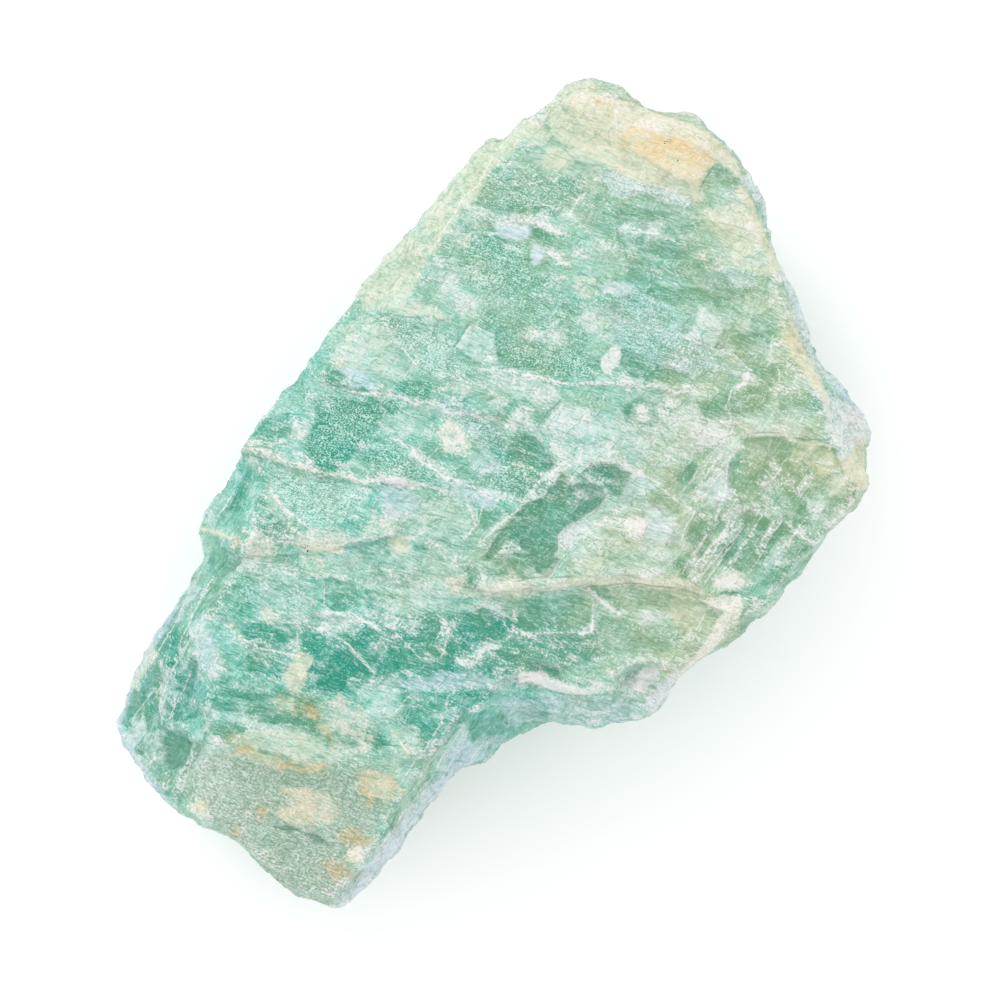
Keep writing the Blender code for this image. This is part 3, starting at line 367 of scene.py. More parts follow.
    ({"crush": 0.7}, [(24, 10.4), (25, 12.2), (26.2, 11.6), (25.4, 11)]),
    ({"milk": 0.6, "crush": 0.45}, [(16.6, 9.4), (20, 9), (21, 7.2), (23.8, 7.4), (23.2, 5.8),
     (20.6, 4), (17.6, 4), (15.6, 5.4)]),
    ({"milk": 0.8, "crush": 0.75}, [(20.4, 6.4), (22.2, 6.9), (23.2, 6.2), (22.6, 5),
     (20.8, 4.8)]),
    ({"milk": 0.5}, [(24, 8), (29, 7.6), (30, 6.6), (25, 6.6)]),
    ({"clear": 0.6, "rise": -0.15}, [(24.6, 5.6), (29, 5.8), (29.6, 4.6), (28.4, 2.6), (26.8, 0),
     (23.2, 0.6), (23.4, 3.2)]),
    ({"crush": 0.55}, [(27.2, 0.8), (28.6, 2.4), (28.2, 3.2), (27, 2.4)]),
    ({"clear": 0.6, "rise": -0.1}, [(28.6, 3.2), (31, 3.4), (31.2, 2.2), (29.6, -0.2),
     (27.6, -1.4), (27.4, 0.4)]),
    ({"cream": 0.35, "clear": 0.55}, [(29.4, 4.4), (33.4, 4.8), (34.6, 3), (32.6, 2),
     (31.4, 2.6)]),
    ({"milk": 0.5, "cream": 0.25}, [(33.2, 1.4), (34.6, 2), (35.6, 0.6), (34.2, -0.4),
     (33.2, 0.2)]),
    ({"clear": 0.35}, [(31.4, 1.8), (34.4, 2.6), (36.2, 0.6), (33, -3.8), (31, -3)]),
    ({"milk": 0.45}, [(18.5, 0.2), (22.6, 2.8), (23.6, 3.4), (24.4, 5.6), (22.6, 5.6), (19.8, 2)]),
    ({"milk": 0.55, "blue": 0.5}, [(20.4, 0.4), (23.4, 3.2), (23.2, 0.4), (21.6, -0.8)]),
    ({"milk": 0.5, "crush": 0.4}, [(25.6, -1), (26.8, -0.4), (27.8, -1.2), (27, -2.2),
     (26, -2.2)]),
    ({"clear": 0.95}, [(27.6, -3.2), (28.4, -2.6), (29.4, -2.8), (30.6, -4.4), (29, -5.8),
     (27.4, -4.8)]),
    ({"clear": 0.75}, [(29.6, -1.4), (31, -0.4), (31.5, -1.8), (30.9, -3.3), (29.4, -2.4)],
     [(23.2, -5.6), (25.6, -5), (26.6, -6.4), (23.9, -8), (22.8, -6.8)], [(20.2, -2.6),
     (22.2, -3.4), (20.6, -6.4), (19, -5.2), (19.6, -3.2)], [(17.8, -6.8), (19.4, -5.8),
     (20, -8.2), (19, -8.4)]),
    ({"milk": 0.9, "crush": 0.75, "cream": 0.3}, [(21.8, -8.2), (24, -7.6), (25.6, -8.8),
     (24, -9.4), (21.8, -9.2)]),
    ({"milk": 0.9, "crush": 0.7, "cream": 0.3}, [(20, -10.4), (24.4, -10.2), (24.6, -11),
     (22.6, -11.8)]),
    ({"cream": 0.45, "crush": 0.6, "milk": 0.9, "rise": 0.08}, [(24.4, -11), (23.2, -11.4),
     (22, -13), (20.8, -15), (19.4, -16.8), (17.6, -18.4), (19, -18.2), (21.2, -16.2), (22.8, -14),
     (24.4, -12)]),
    ({"cream": 0.35}, [(17.6, -9.4), (19.6, -9.8), (20.6, -12), (19.6, -13.8), (17.8, -12.6)]),
    ({"milk": 0.7, "crush": 0.5}, [(22.2, 0.4), (23.6, 0.2), (25, -1.4), (24.4, -3.2),
     (23.2, -3.4), (22.2, -1.6)]),
    ({"milk": 0.8, "crush": 0.7}, [(26, 0.4), (26.6, 2), (27.4, 3.2), (28.5, 3.4), (28, 1.8),
     (27.4, 0.4)]),
    ({"lamina": 1}, [(17.6, -9), (25, -9.6), (33, -6), (36, 0.6), (33, 4.4), (24.4, 6.6), (18, 1),
     (19, -4)]),
    # Trough under the main ridge: the deepest teal, with crushed flecks
    ({"clear": 0.8}, [(-24, -13), (-22, -13.2), (-21, -14), (-20.8, -15.4), (-22.4, -15.4),
     (-24, -15)]),
    ({"clear": 0.85}, [(-24.6, -16.2), (-22.4, -16.4), (-22.4, -17.6), (-24.6, -17.6)],
     [(-24.8, -15.8), (-23, -15.2), (-21, -15.8), (-20.2, -16.6), (-21.6, -18), (-24.4, -17.8)]),
    ({"clear": 1}, [(-19.6, -14), (-18.4, -13.7), (-17.2, -14), (-17, -14.9), (-17.8, -15.6),
     (-18.6, -16.2), (-19.6, -15.4)], [(-14.6, -14.2), (-13, -13.4), (-12.2, -13.6), (-12.6, -15),
     (-13.8, -15.8)], [(-9.4, -13.8), (-8.6, -12.8), (-6.6, -12.3), (-5.6, -12.1), (-5.7, -13.4),
     (-6.4, -14.2), (-7.6, -15), (-8.8, -14.8)], [(-7.6, -12.9), (-5.8, -12.4), (-5, -13.4),
     (-5.4, -15.2), (-7, -15.2)]),
    ({"clear": 1, "rise": -0.2}, [(-15.8, -15.6), (-15, -15.4), (-13.4, -16.2), (-12.4, -17.4),
     (-12.2, -18.6), (-13, -19), (-14.4, -18.4), (-15, -19.6), (-16.2, -19.8), (-17.8, -19.2),
     (-17.8, -17.8), (-16.4, -17.2)]),
    ({"crush": 0.2}, [(-12.8, -14.2), (-10.4, -13.8), (-8.8, -14.8), (-6.4, -15.4), (-5.6, -16.4),
     (-8.4, -16.6), (-10.8, -16), (-12.4, -15.8)], [(-24, -10.4), (-16, -10.8), (-10, -9.4),
     (-2, -8.4), (2, -9), (-4, -12), (-12, -13), (-24, -13)]),
    ({"milk": 0.6, "crush": 0.55}, [(-12, -14.2), (-11, -13.2), (-9.8, -13), (-9.6, -14.6),
     (-10.8, -15.6), (-11.8, -15.2)]),
    ({"milk": 0.25, "crush": 0.3}, [(-24.6, -15.2), (-22.8, -15.6), (-20.6, -15.6), (-18.2, -16.4),
     (-16.6, -15.8), (-16.8, -17), (-18.2, -18.6), (-20.8, -17.2), (-24, -16.2)]),
    ({"milk": 0.6, "crush": 0.35}, [(-23.6, -11.4), (-19.6, -12), (-16.8, -11.6), (-13.8, -12.2),
     (-12.8, -12.6), (-14.6, -13), (-15.8, -13.7), (-17.4, -13.6), (-20, -13.2), (-22.6, -13)]),
    ({"clear": 0.75}, [(-9.6, -19.6), (-6, -20.2), (-5.6, -21.6), (-8.6, -21.8)]),
    ({"milk": 0.75, "crush": 0.25}, [(-12.2, -18.6), (-10.2, -18), (-9.6, -19.2), (-10.4, -20.2),
     (-9.8, -21.8), (-11.4, -22.8), (-12.4, -21.4), (-11.8, -20)]),
    ({"milk": 0.6}, [(-14.4, -18.8), (-13.2, -18.2), (-12.2, -19.2), (-12.8, -20.3),
     (-14.2, -20)]),
    ({"clear": 0.9}, [(0.6, -14.8), (3.4, -14.9), (3.8, -16.2), (1, -16.6), (-0.4, -16.2)],
     [(-13.6, -15.4), (-11.6, -15.8), (-10.8, -17), (-11.6, -18.2), (-12.4, -17.4)]),
    ({"clear": 0.95}, [(-5, -14.4), (-4, -14.4), (-3.6, -16), (-4.2, -17.2), (-5.2, -17)],
     [(0.2, -15.2), (2.6, -15.6), (2.4, -17), (0.4, -17.8), (-2.2, -18.2), (-2, -17)]),
    ({"clear": 0.72}, [(-11.6, -16.4), (-9.8, -15.6), (-8.2, -16.6), (-7, -17.6), (-5, -17.4),
     (-4.6, -18.2), (-7.4, -18.6), (-10.2, -18.2)]),
    ({"clear": 0.9, "rise": -0.15}, [(-3.2, -12), (-1.2, -11.4), (0.6, -12.2), (0.4, -13.6),
     (0.2, -14.6), (-1, -15), (-3, -15.8), (-4.4, -15.2), (-4.6, -14.2), (-3.8, -13.2)]),
    ({"crush": 0.5, "milk": 0.5}, [(-2.4, -10.9), (0.2, -10.8), (0.9, -12), (-0.2, -12.6),
     (-1.6, -12), (-2.6, -11.8)]),
    ({"clear": 0.55}, [(2.2, -12.2), (4, -10.6), (8.6, -10), (9.4, -11.6), (9.4, -13.4),
     (6, -13.4), (3.6, -13.6), (2.6, -13)]),
    ({"clear": 0.65}, [(9.4, -9), (11, -9.4), (13, -11.2), (12, -11.4), (10, -10.2)]),
    ({"clear": 0.68, "crush": 0.28}, [(-12, -12.2), (-2, -11.8), (10, -13), (10.6, -16), (4, -19),
     (-4, -19.4), (-18, -19.4), (-24, -17.6), (-25, -13), (-20, -12)]),
    ({"crush": 0.25}, [(-9.6, 6), (-4, 9), (1, 8), (4, 9.6), (10, 9.6), (16, 6), (20, 6.4),
     (23, 6), (20, 1.6), (14, 2), (8, -1), (2, 0.4), (-6, 1.6)]),
    ({"cream": 0.6, "crush": 0.45, "milk": 0.8}, [(-19.6, -15.6), (-18, -16.4), (-18.6, -17.8),
     (-19.4, -19.6), (-20.4, -19.4), (-21, -18.2), (-20.2, -16.8)]),
    ({"crush": 0.65, "milk": 0.5}, [(-3.8, -16.6), (-2.6, -16), (-1.4, -15.8), (-0.8, -15),
     (0.4, -14.9), (0.9, -15.2), (0, -15.6), (-0.6, -16.2), (-1.8, -16.7), (-3.2, -16.9)]),
    ({"crush": 1, "milk": 1, "rise": 0.1}, [(2.2, -17.8), (3.6, -17.6), (4.6, -17.5), (5.6, -18.2),
     (6.6, -18.6), (8, -19.2), (9.8, -19.8), (9.4, -20.1), (7.4, -19.9), (5.4, -19.5),
     (3.6, -18.9), (2.4, -18.9)]),
    ({"clear": 0.4}, [(12, -14), (15.6, -14.2), (19, -14), (16, -16), (12, -15.6)], [(9.6, -12.4),
     (12.6, -12.2), (16, -13.6), (15, -15.6), (9.8, -16)]),
    ({"clear": 0.2}, [(12.4, -18.6), (14.4, -17.6), (13.6, -19.8), (12.2, -20)]),
    ({"crush": 1, "milk": 1, "blue": 0.3}, [(13.4, -18.8), (14.4, -17.7), (16.4, -17.2),
     (16, -18.6), (15, -19.9), (13.8, -19.8)]),
    ({"milk": 0.7, "crush": 0.4}, [(12.6, -18.6), (13.8, -18), (15, -19.4), (13.6, -20.4)]),
    ({"blue": 0.9, "milk": 1, "crush": 0.55}, [(14.6, -21.2), (16.4, -19.2), (18, -17.7),
     (19.8, -17.4), (17.6, -20), (16, -22)]),
    ({"clear": 0.6}, [(7.4, -21.5), (11, -21.3), (15, -21.4), (13, -22.9), (8, -22.9)]),
    # Shelf and fluted face
    ({"blue": 0.5, "milk": 0.4, "crush": 0.15}, [(4.6, -20), (8, -20.4), (13.6, -20), (15.6, -21),
     (13, -22.9), (6, -22.8), (5.6, -21.4)]),
    ({"milk": 0.65, "crush": 0.3}, [(7.4, -18.8), (9.4, -18.2), (11, -19), (10.6, -20.4),
     (8.4, -20.2)]),
    ({"clear": 0.3}, [(6.6, -20.4), (9.6, -20.6), (9, -21.8), (6.6, -21.4)]),
    ({"blue": 0.5, "milk": 0.45}, [(-9.4, -18.6), (-5.6, -18), (-2.6, -17.9), (0.8, -18.6),
     (2, -18.3), (1.6, -18.9), (-0.6, -18.9), (-3, -19), (-5.6, -19.3), (-8.8, -19.2)]),
    ({"clear": 0.7}, [(-9.2, -19.8), (-6.4, -19.9), (-3.4, -19.9), (-1.6, -18.9), (0.2, -19.2),
     (-0.4, -20.4), (-3, -21), (-6.2, -21.4), (-8.8, -20.8)], [(2.4, -20.6), (4.6, -20.4),
     (5.8, -22), (3.8, -22.8), (2, -21.8)]),
    ({"clear": 0.8}, [(-4.8, -23.4), (-3.6, -21.4), (-2.2, -20.2), (-1.4, -20.5), (-3, -22.6),
     (-4.4, -23.7)]),
    ({"clear": 0.5}, [(-2.3, -22.6), (1.8, -22.3), (2, -23.7), (0, -24), (-1.8, -25.2),
     (-2.6, -24.4)]),
    ({"blue": 0.5, "milk": 0.5}, [(0.4, -20.9), (2.4, -20.4), (4.6, -21.2), (4.4, -22.6),
     (1.6, -22.8)]),
    ({"blue": 0.7, "milk": 0.3}, [(-1.2, -24.4), (1.4, -24.6), (-0.8, -27.2), (-3.2, -27.6),
     (-2.4, -25.8)]),
    ({"clear": 0.9}, [(-4.4, -25.4), (-2.6, -25.8), (-1.8, -27), (-3, -27.8), (-4.4, -27.4)]),
    ({"blue": 1, "milk": 0.8, "crush": 0.25}, [(-3, -23.4), (-5, -27), (-8, -31), (-11, -34.6),
     (-13.5, -38.4), (-16, -41.8), (-13.6, -40.6), (-9, -34.8), (-5.4, -30.2), (-3.4, -27.6),
     (-1.6, -27.2)]),
    ({"clear": 0.45, "blue": 0.3}, [(-5.2, -24.8), (-3.6, -22), (-2.8, -20.6), (-4.6, -22),
     (-7, -26.2), (-6.2, -26.2)]),
    ({"milk": 0.7, "crush": 0.3}, [(-9.8, -23.4), (-8.2, -23), (-7.2, -24.6), (-8, -25.6),
     (-9.4, -24.6)]),
    ({"clear": 0.6}, [(-9.4, -21.8), (-8.4, -20.8), (-5.8, -22.4), (-5.6, -24.4), (-7, -26),
     (-7.4, -24.6), (-8.4, -23.4)], [(-16.8, -23.8), (-14.6, -23), (-12, -23.4), (-11.6, -24.6),
     (-14, -25.4), (-16.6, -25.2)]),
    ({"clear": 0.85}, [(-13.2, -24), (-11.8, -23.8), (-9.8, -25), (-11.4, -25.4), (-13.4, -24.8)]),
    ({"lamina": 1}, [(-1, -20), (-8.6, -30.4), (-14, -38), (-16.4, -42), (-13, -40), (-4, -27.8),
     (1.6, -24.6), (3, -21)]),
    # Lower block, grained and stained
    ({"clear": 0.95}, [(-24, -22.4), (-21.6, -21.6), (-18.8, -21.8), (-17.2, -23), (-18, -23.8),
     (-20.4, -23), (-23.6, -22.8)]),
    ({"clear": 0.9}, [(-24.8, -21.4), (-23.2, -20.8), (-21.8, -21.4), (-22.4, -22.6),
     (-24.6, -22.4)], [(-20, -20.4), (-18, -20.8), (-17.2, -22.4), (-18.6, -23), (-20, -21.8)]),
    ({"clear": 0.85}, [(-28.6, -22.8), (-26.6, -22.6), (-24.8, -23.4), (-26.6, -24.8),
     (-28.4, -24)], [(-19.8, -19.9), (-17.6, -20.6), (-18.4, -21.2), (-20, -20.6)]),
    ({"clear": 0.65}, [(-28, -20.4), (-26, -20.6), (-25.6, -21.4), (-27.4, -21.4)]),
    ({"milk": 0.55, "cream": 0.3}, [(-25.4, -24.2), (-22, -23.4), (-18.6, -24.2), (-17.2, -25.6),
     (-19.8, -26.6), (-23, -25.2)]),
    ({"clear": 0.55}, [(-23.2, -25.6), (-20.4, -26.2), (-19.2, -27.2), (-21.4, -26.8)]),
    ({"sand": 0.85}, [(-31, -29.6), (-29.4, -26), (-25, -25.8), (-20, -28), (-17, -27.4),
     (-13, -27.8), (-11, -31), (-13, -35), (-16, -38.6), (-17.6, -41), (-22, -39),
     (-25.6, -34.6)]),
    ({"clear": 0.45}, [(-26.8, -27), (-24.6, -26.8), (-22.4, -27.6), (-20, -28.4), (-20.6, -29.6),
     (-23.6, -29.4), (-26, -28.6)], [(-15, -30), (-12.6, -31), (-11.6, -32.6), (-13.6, -33.4),
     (-15.2, -32.4)]),
    ({"cream": 0.4, "rust": 0.12, "milk": 0.7, "crush": 0.45, "rise": 0.12}, [(-21, -29.6),
     (-18.6, -29.2), (-16.6, -29.8), (-15.6, -31.4), (-16.2, -33), (-18.2, -32.8), (-20, -33.2),
     (-21.8, -31.6), (-19.8, -30.8)]),
    ({"cream": 0.25, "rust": 0.2, "milk": 0.8, "crush": 0.45}, [(-17, -20.4), (-15.4, -20),
     (-14.2, -20.8), (-13, -21.4), (-11.6, -23.2), (-12.6, -25.6), (-16.8, -26.8), (-16.4, -24.6),
     (-16.6, -22.4)]),
    ({"milk": 0.35}, [(-31, -29.4), (-29.4, -26.2), (-27.4, -26.2), (-26.4, -28.4), (-26.4, -31),
     (-28.6, -32.6), (-30.6, -31)]),
    ({"rust": 0.1, "cream": 0.2}, [(-22.5, -20.2), (-18, -20.4), (-16.6, -22.6), (-16.6, -25),
     (-17.8, -24.6), (-18, -22.4), (-20.4, -21.4)]),
    ({"clear": 0.5}, [(-28.2, -18.4), (-24, -17.8), (-21.4, -19.2), (-20, -20.2), (-24.4, -20.4),
     (-27, -19.8)]),
    ({"rust": 0.15, "cream": 0.25}, [(-26.4, -23.8), (-23.6, -25.4), (-19, -26.8), (-17.2, -26.6),
     (-17.6, -27.8), (-22.6, -27.2), (-26, -25.8)]),
    ({"clear": 1, "rise": -0.3}, [(-22, -33.2), (-20.6, -32.9), (-19.4, -33.6), (-20.2, -33.8)]),
    ({"clear": 0.85, "rise": -0.2}, [(-19, -33.9), (-17.4, -34), (-16.6, -34.8), (-18, -35)]),
    ({"rust": 0.7}, [(-15.4, -33.4), (-13.6, -33.8), (-12.4, -34.6), (-14, -35.2),
     (-15.2, -34.8)]),
    ({"rust": 0.5}, [(-17, -36.6), (-15, -37), (-14, -38), (-15.8, -38.2)]),
    ({"cream": 0.35, "rust": 0.3, "crush": 0.35}, [(-13.4, -27.4), (-10.4, -28.2), (-9.2, -29.6),
     (-11, -30.4), (-13.6, -29.4)]),
    ({"clear": 0.35}, [(-19.4, -36.6), (-16.6, -36.8), (-16, -38.6), (-18.2, -40), (-20, -38.8)]),
    ({"clear": 0.4}, [(-22, -35), (-15.6, -35.6), (-14.6, -38), (-17, -40.4), (-20.6, -38.6)]),
    ({"milk": 0.2, "blue": 0.4}, [(-14.4, -38), (-12.4, -37.6), (-14.6, -40.6), (-16, -41.4),
     (-15.6, -39.4)]),
    ({"sand": 0.8, "clear": 0.3}, [(-17.6, -38.2), (-15.4, -37.6), (-13.8, -38.2), (-14.4, -39.6),
     (-16.4, -41), (-18.2, -40.4)]),
    ({"crush": 0.8, "milk": 0.9, "rise": 0.08}, [(-14.8, -35.4), (-13.4, -35), (-12.6, -36),
     (-13.8, -37), (-15, -36.6)]),
    ({"milk": 0.6, "crush": 0.3}, [(-29.6, -25.2), (-27, -25), (-24.6, -26.4), (-27, -27.2),
     (-30, -27.6)]),
    # Left flank: its clear patches are partly teal windows and partly painted shade, darkening the
    # side along its outline
    ({"lamina": 1}, [(-24, 3.4), (-28.6, -2.4), (-30, -4), (-31, -10), (-38.4, -23), (-33, -29),
     (-29.6, -24), (-28, -12), (-23.6, -3)]),
    ({"clear": 0.95}, [(-31.6, -18.6), (-30.2, -17.4), (-29.2, -18.6), (-30.4, -21), (-32, -23),
     (-33.6, -22.2), (-33, -20.4)]),
    ({"clear": 0.9}, [(-35.6, -19.4), (-34.4, -18), (-33.8, -19), (-35.4, -22.8), (-37.2, -21.6),
     (-36.8, -19.8)]),
    ({"clear": 0.6}, [(-37.6, -23), (-37.2, -19.6), (-34.8, -15.2), (-32, -10.6), (-30.4, -8),
     (-29.8, -9), (-31.6, -13.6), (-33.6, -18), (-35.6, -22), (-36, -24.6)], [(-28.6, -6.4),
     (-26.2, -6.4), (-25.6, -7), (-27.6, -8.4)]),
    ({"clear": 0.7, "blue": 0.1}, [(-36.5, -22), (-36.2, -18.6), (-33, -16), (-29.6, -16.6),
     (-29.6, -22), (-33, -23.4)]),
    ({"clear": 0.7, "blue": 0.15}, [(-37.5, -23), (-33, -23.4), (-30.6, -24), (-31.6, -28.4),
     (-35, -27.6)]),
    ({"clear": 0.45}, [(-37.6, -22), (-35.6, -17), (-32.6, -13), (-29.6, -15), (-29.4, -19),
     (-32, -24), (-36, -25)], [(-33.8, -27.2), (-31.2, -27.6), (-31.6, -30.6), (-33.4, -29.8)]),
    ({"clear": 0.7}, [(-33.4, -14.6), (-32, -13.6), (-31.8, -15), (-32.8, -16.6), (-33.8, -16)],
     [(-31.2, -14.6), (-30.4, -14), (-30.6, -16.4), (-31.6, -17)]),
    ({"clear": 0.75, "rise": -0.2}, [(-33, -24.8), (-29.6, -24.8), (-29.8, -26), (-30.8, -27.6),
     (-32.8, -27)]),
    ({"clear": 0.4}, [(-36.8, -23.2), (-34.6, -22.4), (-31, -23.6), (-33.6, -25), (-36, -25.4)],
     [(-28.4, -8.8), (-25, -9.4), (-24, -13), (-26.4, -13.4), (-28.2, -12)]),
    ({"milk": 0.7, "blue": 0.5}, [(-32.2, -11.6), (-30.4, -8.8), (-29.4, -9.6), (-31.6, -12.8)],
     [(-30.4, -13), (-29, -12), (-28.2, -15), (-27.8, -18.4), (-29.6, -17)]),
    ({"milk": 0.75, "cream": 0.3}, [(-36.6, -17.6), (-34.4, -15), (-33.8, -15.8), (-36.4, -19.6)]),
    ({"milk": 0.4}, [(-33.8, -19.6), (-31.8, -16.6), (-30.6, -14.4), (-30.2, -15.6), (-32, -19),
     (-33.4, -21.8)]),
    ({"milk": 0.9}, [(-29, -15.4), (-27.4, -15), (-27, -17.6), (-29, -17.4)]),
    ({"milk": 0.65}, [(-36.6, -22.6), (-35, -22.6), (-34.6, -24), (-35.8, -25.6), (-37.2, -24.4)],
     [(-34.8, -24.2), (-33, -23.8), (-33.2, -26.6), (-34.4, -27.4), (-35.8, -26.8)]),
]

# Seams and stained cracks of the face: kind, strength, half width and way
SEAMS = [
    ("crush", 0.7, 0.15, [(12.5, 26.6), (16, 26), (19, 24.7)]),
    ("cream", 0.5, 0.35, [(-0.4, 33.4), (-1.6, 31), (-3.2, 29.4), (-4.6, 27.2), (-5.4, 25.8),
     (-6.4, 24.2)]),
    ("crush", 0.6, 0.2, [(-1.8, 28.2), (-0.6, 27.2), (1, 27.2), (3, 27.3), (4.4, 26.8),
     (5.6, 26.2), (7, 25.9)]),
    ("crush", 0.5, 0.2, [(7.4, 27.8), (8.2, 29.4), (9, 30)]),
    ("crush", 0.6, 0.25, [(-1.5, 12.6), (2, 12.2), (6, 11.2), (9.8, 11), (12, 11.2), (14.4, 10.6),
     (16, 11.1), (17.6, 10.2), (20, 10.3)]),
    ("crush", 0.8, 0.2, [(-17, 11), (-14, 10.2), (-10, 9.9), (-8, 9.2), (-5, 8.3), (-2.5, 8),
     (0.4, 7.4), (1, 7)]),
    ("crush", 0.7, 0.25, [(-10, 5.4), (-8.4, 4.4), (-6.6, 3), (-5, 1.8), (-2.4, 0.8), (0, -0.6)]),
    ("crush", 0.6, 0.1, [(-11.2, 17.2), (-10, 15.4), (-8.6, 13.6), (-7.8, 12.8)]),
    ("crush", 0.7, 0.2, [(-25.4, 4.6), (-23, 4.4), (-20, 3.2), (-16, 1.9), (-13, 1.2), (-10, 1.6),
     (-8, 1.2), (-5, 0.2)]),
    ("crush", 0.7, 0.2, [(-20.2, 4.2), (-19, 4), (-18, 3), (-17, 2.2)]),
    ("crush", 0.85, 0.3, [(-22.4, 0.4), (-20.6, -1.8), (-18.4, -3.4), (-18, -4.6)]),
    ("cream", 0.7, 0.3, [(-29.6, -3.3), (-27.5, -3.8), (-26, -4.4)]),
    ("crush", 0.6, 0.25, [(-23.8, -4.6), (-19, -4.9), (-15.5, -5), (-12.5, -4.2), (-10, -3.9)]),
    ("crush", 0.65, 0.25, [(9.6, 3.6), (12, 3.2), (14, 2.2), (16, 1.2), (17.6, -0.2), (19.6, -1.6),
     (21.8, -2.4)]),
    ("crush", 0.55, 0.2, [(3.2, -0.2), (4.6, 1.2), (6.6, 3)]),
    ("crush", 0.6, 0.15, [(-2.9, -0.2), (-2, -3.2), (-3.2, -4.4)]),
    ("crush", 0.6, 0.15, [(19, 15.5), (21.6, 14.6), (23.6, 14)]),
    ("crush", 0.6, 0.12, [(27.3, 13.2), (27.6, 15.6)]),
    ("crush", 0.6, 0.15, [(28.2, 11), (28.2, 12.4)]),
    ("cream", 0.55, 0.2, [(24, 7.2), (25.4, 6.2), (26, 5.9), (29, 6), (30.4, 5.2), (33.4, 4.8)]),
    ("crush", 0.7, 0.18, [(30.2, 0), (31.4, 2)]),
    ("crush", 0.5, 0.1, [(18.7, -7.6), (22, -2.6)]),
    ("crush", 0.5, 0.1, [(19.4, -8), (23.2, -3)]),
    ("crush", 0.6, 0.3, [(20, -8.4), (22.2, -5.2), (24.4, -1.8)]),
    ("crush", 0.5, 0.1, [(20.4, -8.4), (24.6, -3.4)]),
    ("crush", 0.5, 0.1, [(22.8, -7.6), (26.6, -2.2)]),
    ("crush", 0.5, 0.1, [(26, -6.8), (28.6, -2.4)]),
    ("crush", 0.5, 0.1, [(28, -6), (31, -2.4)]),
    ("crush", 0.5, 0.1, [(18.4, 0), (21, 3), (23.8, 6.8)]),
    ("crush", 0.5, 0.1, [(20.6, -0.4), (23.2, 3), (24.4, 5)]),
    ("crush", 0.5, 0.15, [(29, -3), (30.4, -4), (32, -5), (32.6, -4.5)]),
    ("crush", 0.6, 0.15, [(-23, -11.4), (-21, -12.4), (-19, -13), (-17, -13.6), (-15.2, -14.6),
     (-14.2, -15.6), (-13, -16.6), (-12.2, -17.4)]),
    ("crush", 0.6, 0.12, [(-17, -11.6), (-14, -12.2), (-13, -12.9), (-11.6, -13.4)]),
    ("crush", 0.7, 0.12, [(-5.2, -11.8), (-5, -12.8), (-4.6, -14), (-5.2, -15.6), (-5.6, -16.2)]),
    ("crush", 0.9, 0.2, [(-13.6, -12.5), (-12.4, -13), (-11.4, -13.6)]),
    ("crush", 1, 0.15, [(4.4, -14), (6, -13.8), (9.6, -13.7)]),
    ("cream", 0.9, 0.15, [(-26.4, -13), (-25.4, -13.9), (-24.6, -14.7)]),
    ("rust", 0.9, 0.3, [(-18.8, -21), (-17.6, -22.2), (-16.9, -23.6), (-16.6, -24.6)]),
    ("crush", 0.9, 0.12, [(2.2, -1.4), (0.4, -3), (-1.2, -4.6)]),
    ("crush", 0.8, 0.12, [(-20.2, -13), (-20, -15.4)]),
    ("crush", 0.8, 0.3, [(9.4, -9.4), (10.6, -10.6), (12.4, -12)]),
    ("crush", 0.7, 0.12, [(9.7, -10.6), (9.6, -13.6)]),
    ("crush", 0.9, 0.2, [(1.9, -11.6), (2.2, -12.6), (1.2, -14.4)]),
    ("crush", 1, 0.3, [(2.3, -13.5), (3.2, -14.2), (4.4, -14.3)]),
    ("rust", 0.6, 0.15, [(-20, -20.4), (-18, -21.2), (-17.2, -22.8), (-16.4, -24.6)]),
    ("rust", 0.7, 0.25, [(-25.9, -25.6), (-24, -25.4), (-22.6, -26.8), (-19, -27.4),
     (-17.4, -27)]),
    ("cream", 0.8, 0.25, [(-10.4, -23.4), (-9.4, -24.8), (-8.6, -25.8)]),
    ("crush", 0.6, 0.25, [(-29.6, -25.2), (-31, -27.6), (-31.4, -29.8)]),
    # The blue bands along the left flank and the right rim are painted sheen, the bright
    # surroundings reflected in the steep sides
    ("blue", 0.8, 0.7, [(-29.8, -5), (-31.6, -10), (-34.4, -14.6), (-37, -19), (-38.4, -23.2),
     (-36.6, -26.6), (-33.4, -30.4)]),
    ("blue", 1, 1.1, [(27.4, 29.6), (28.6, 26), (30.8, 21), (32, 16.6), (34, 12.4), (36, 9.6),
     (37.6, 7)]),
]

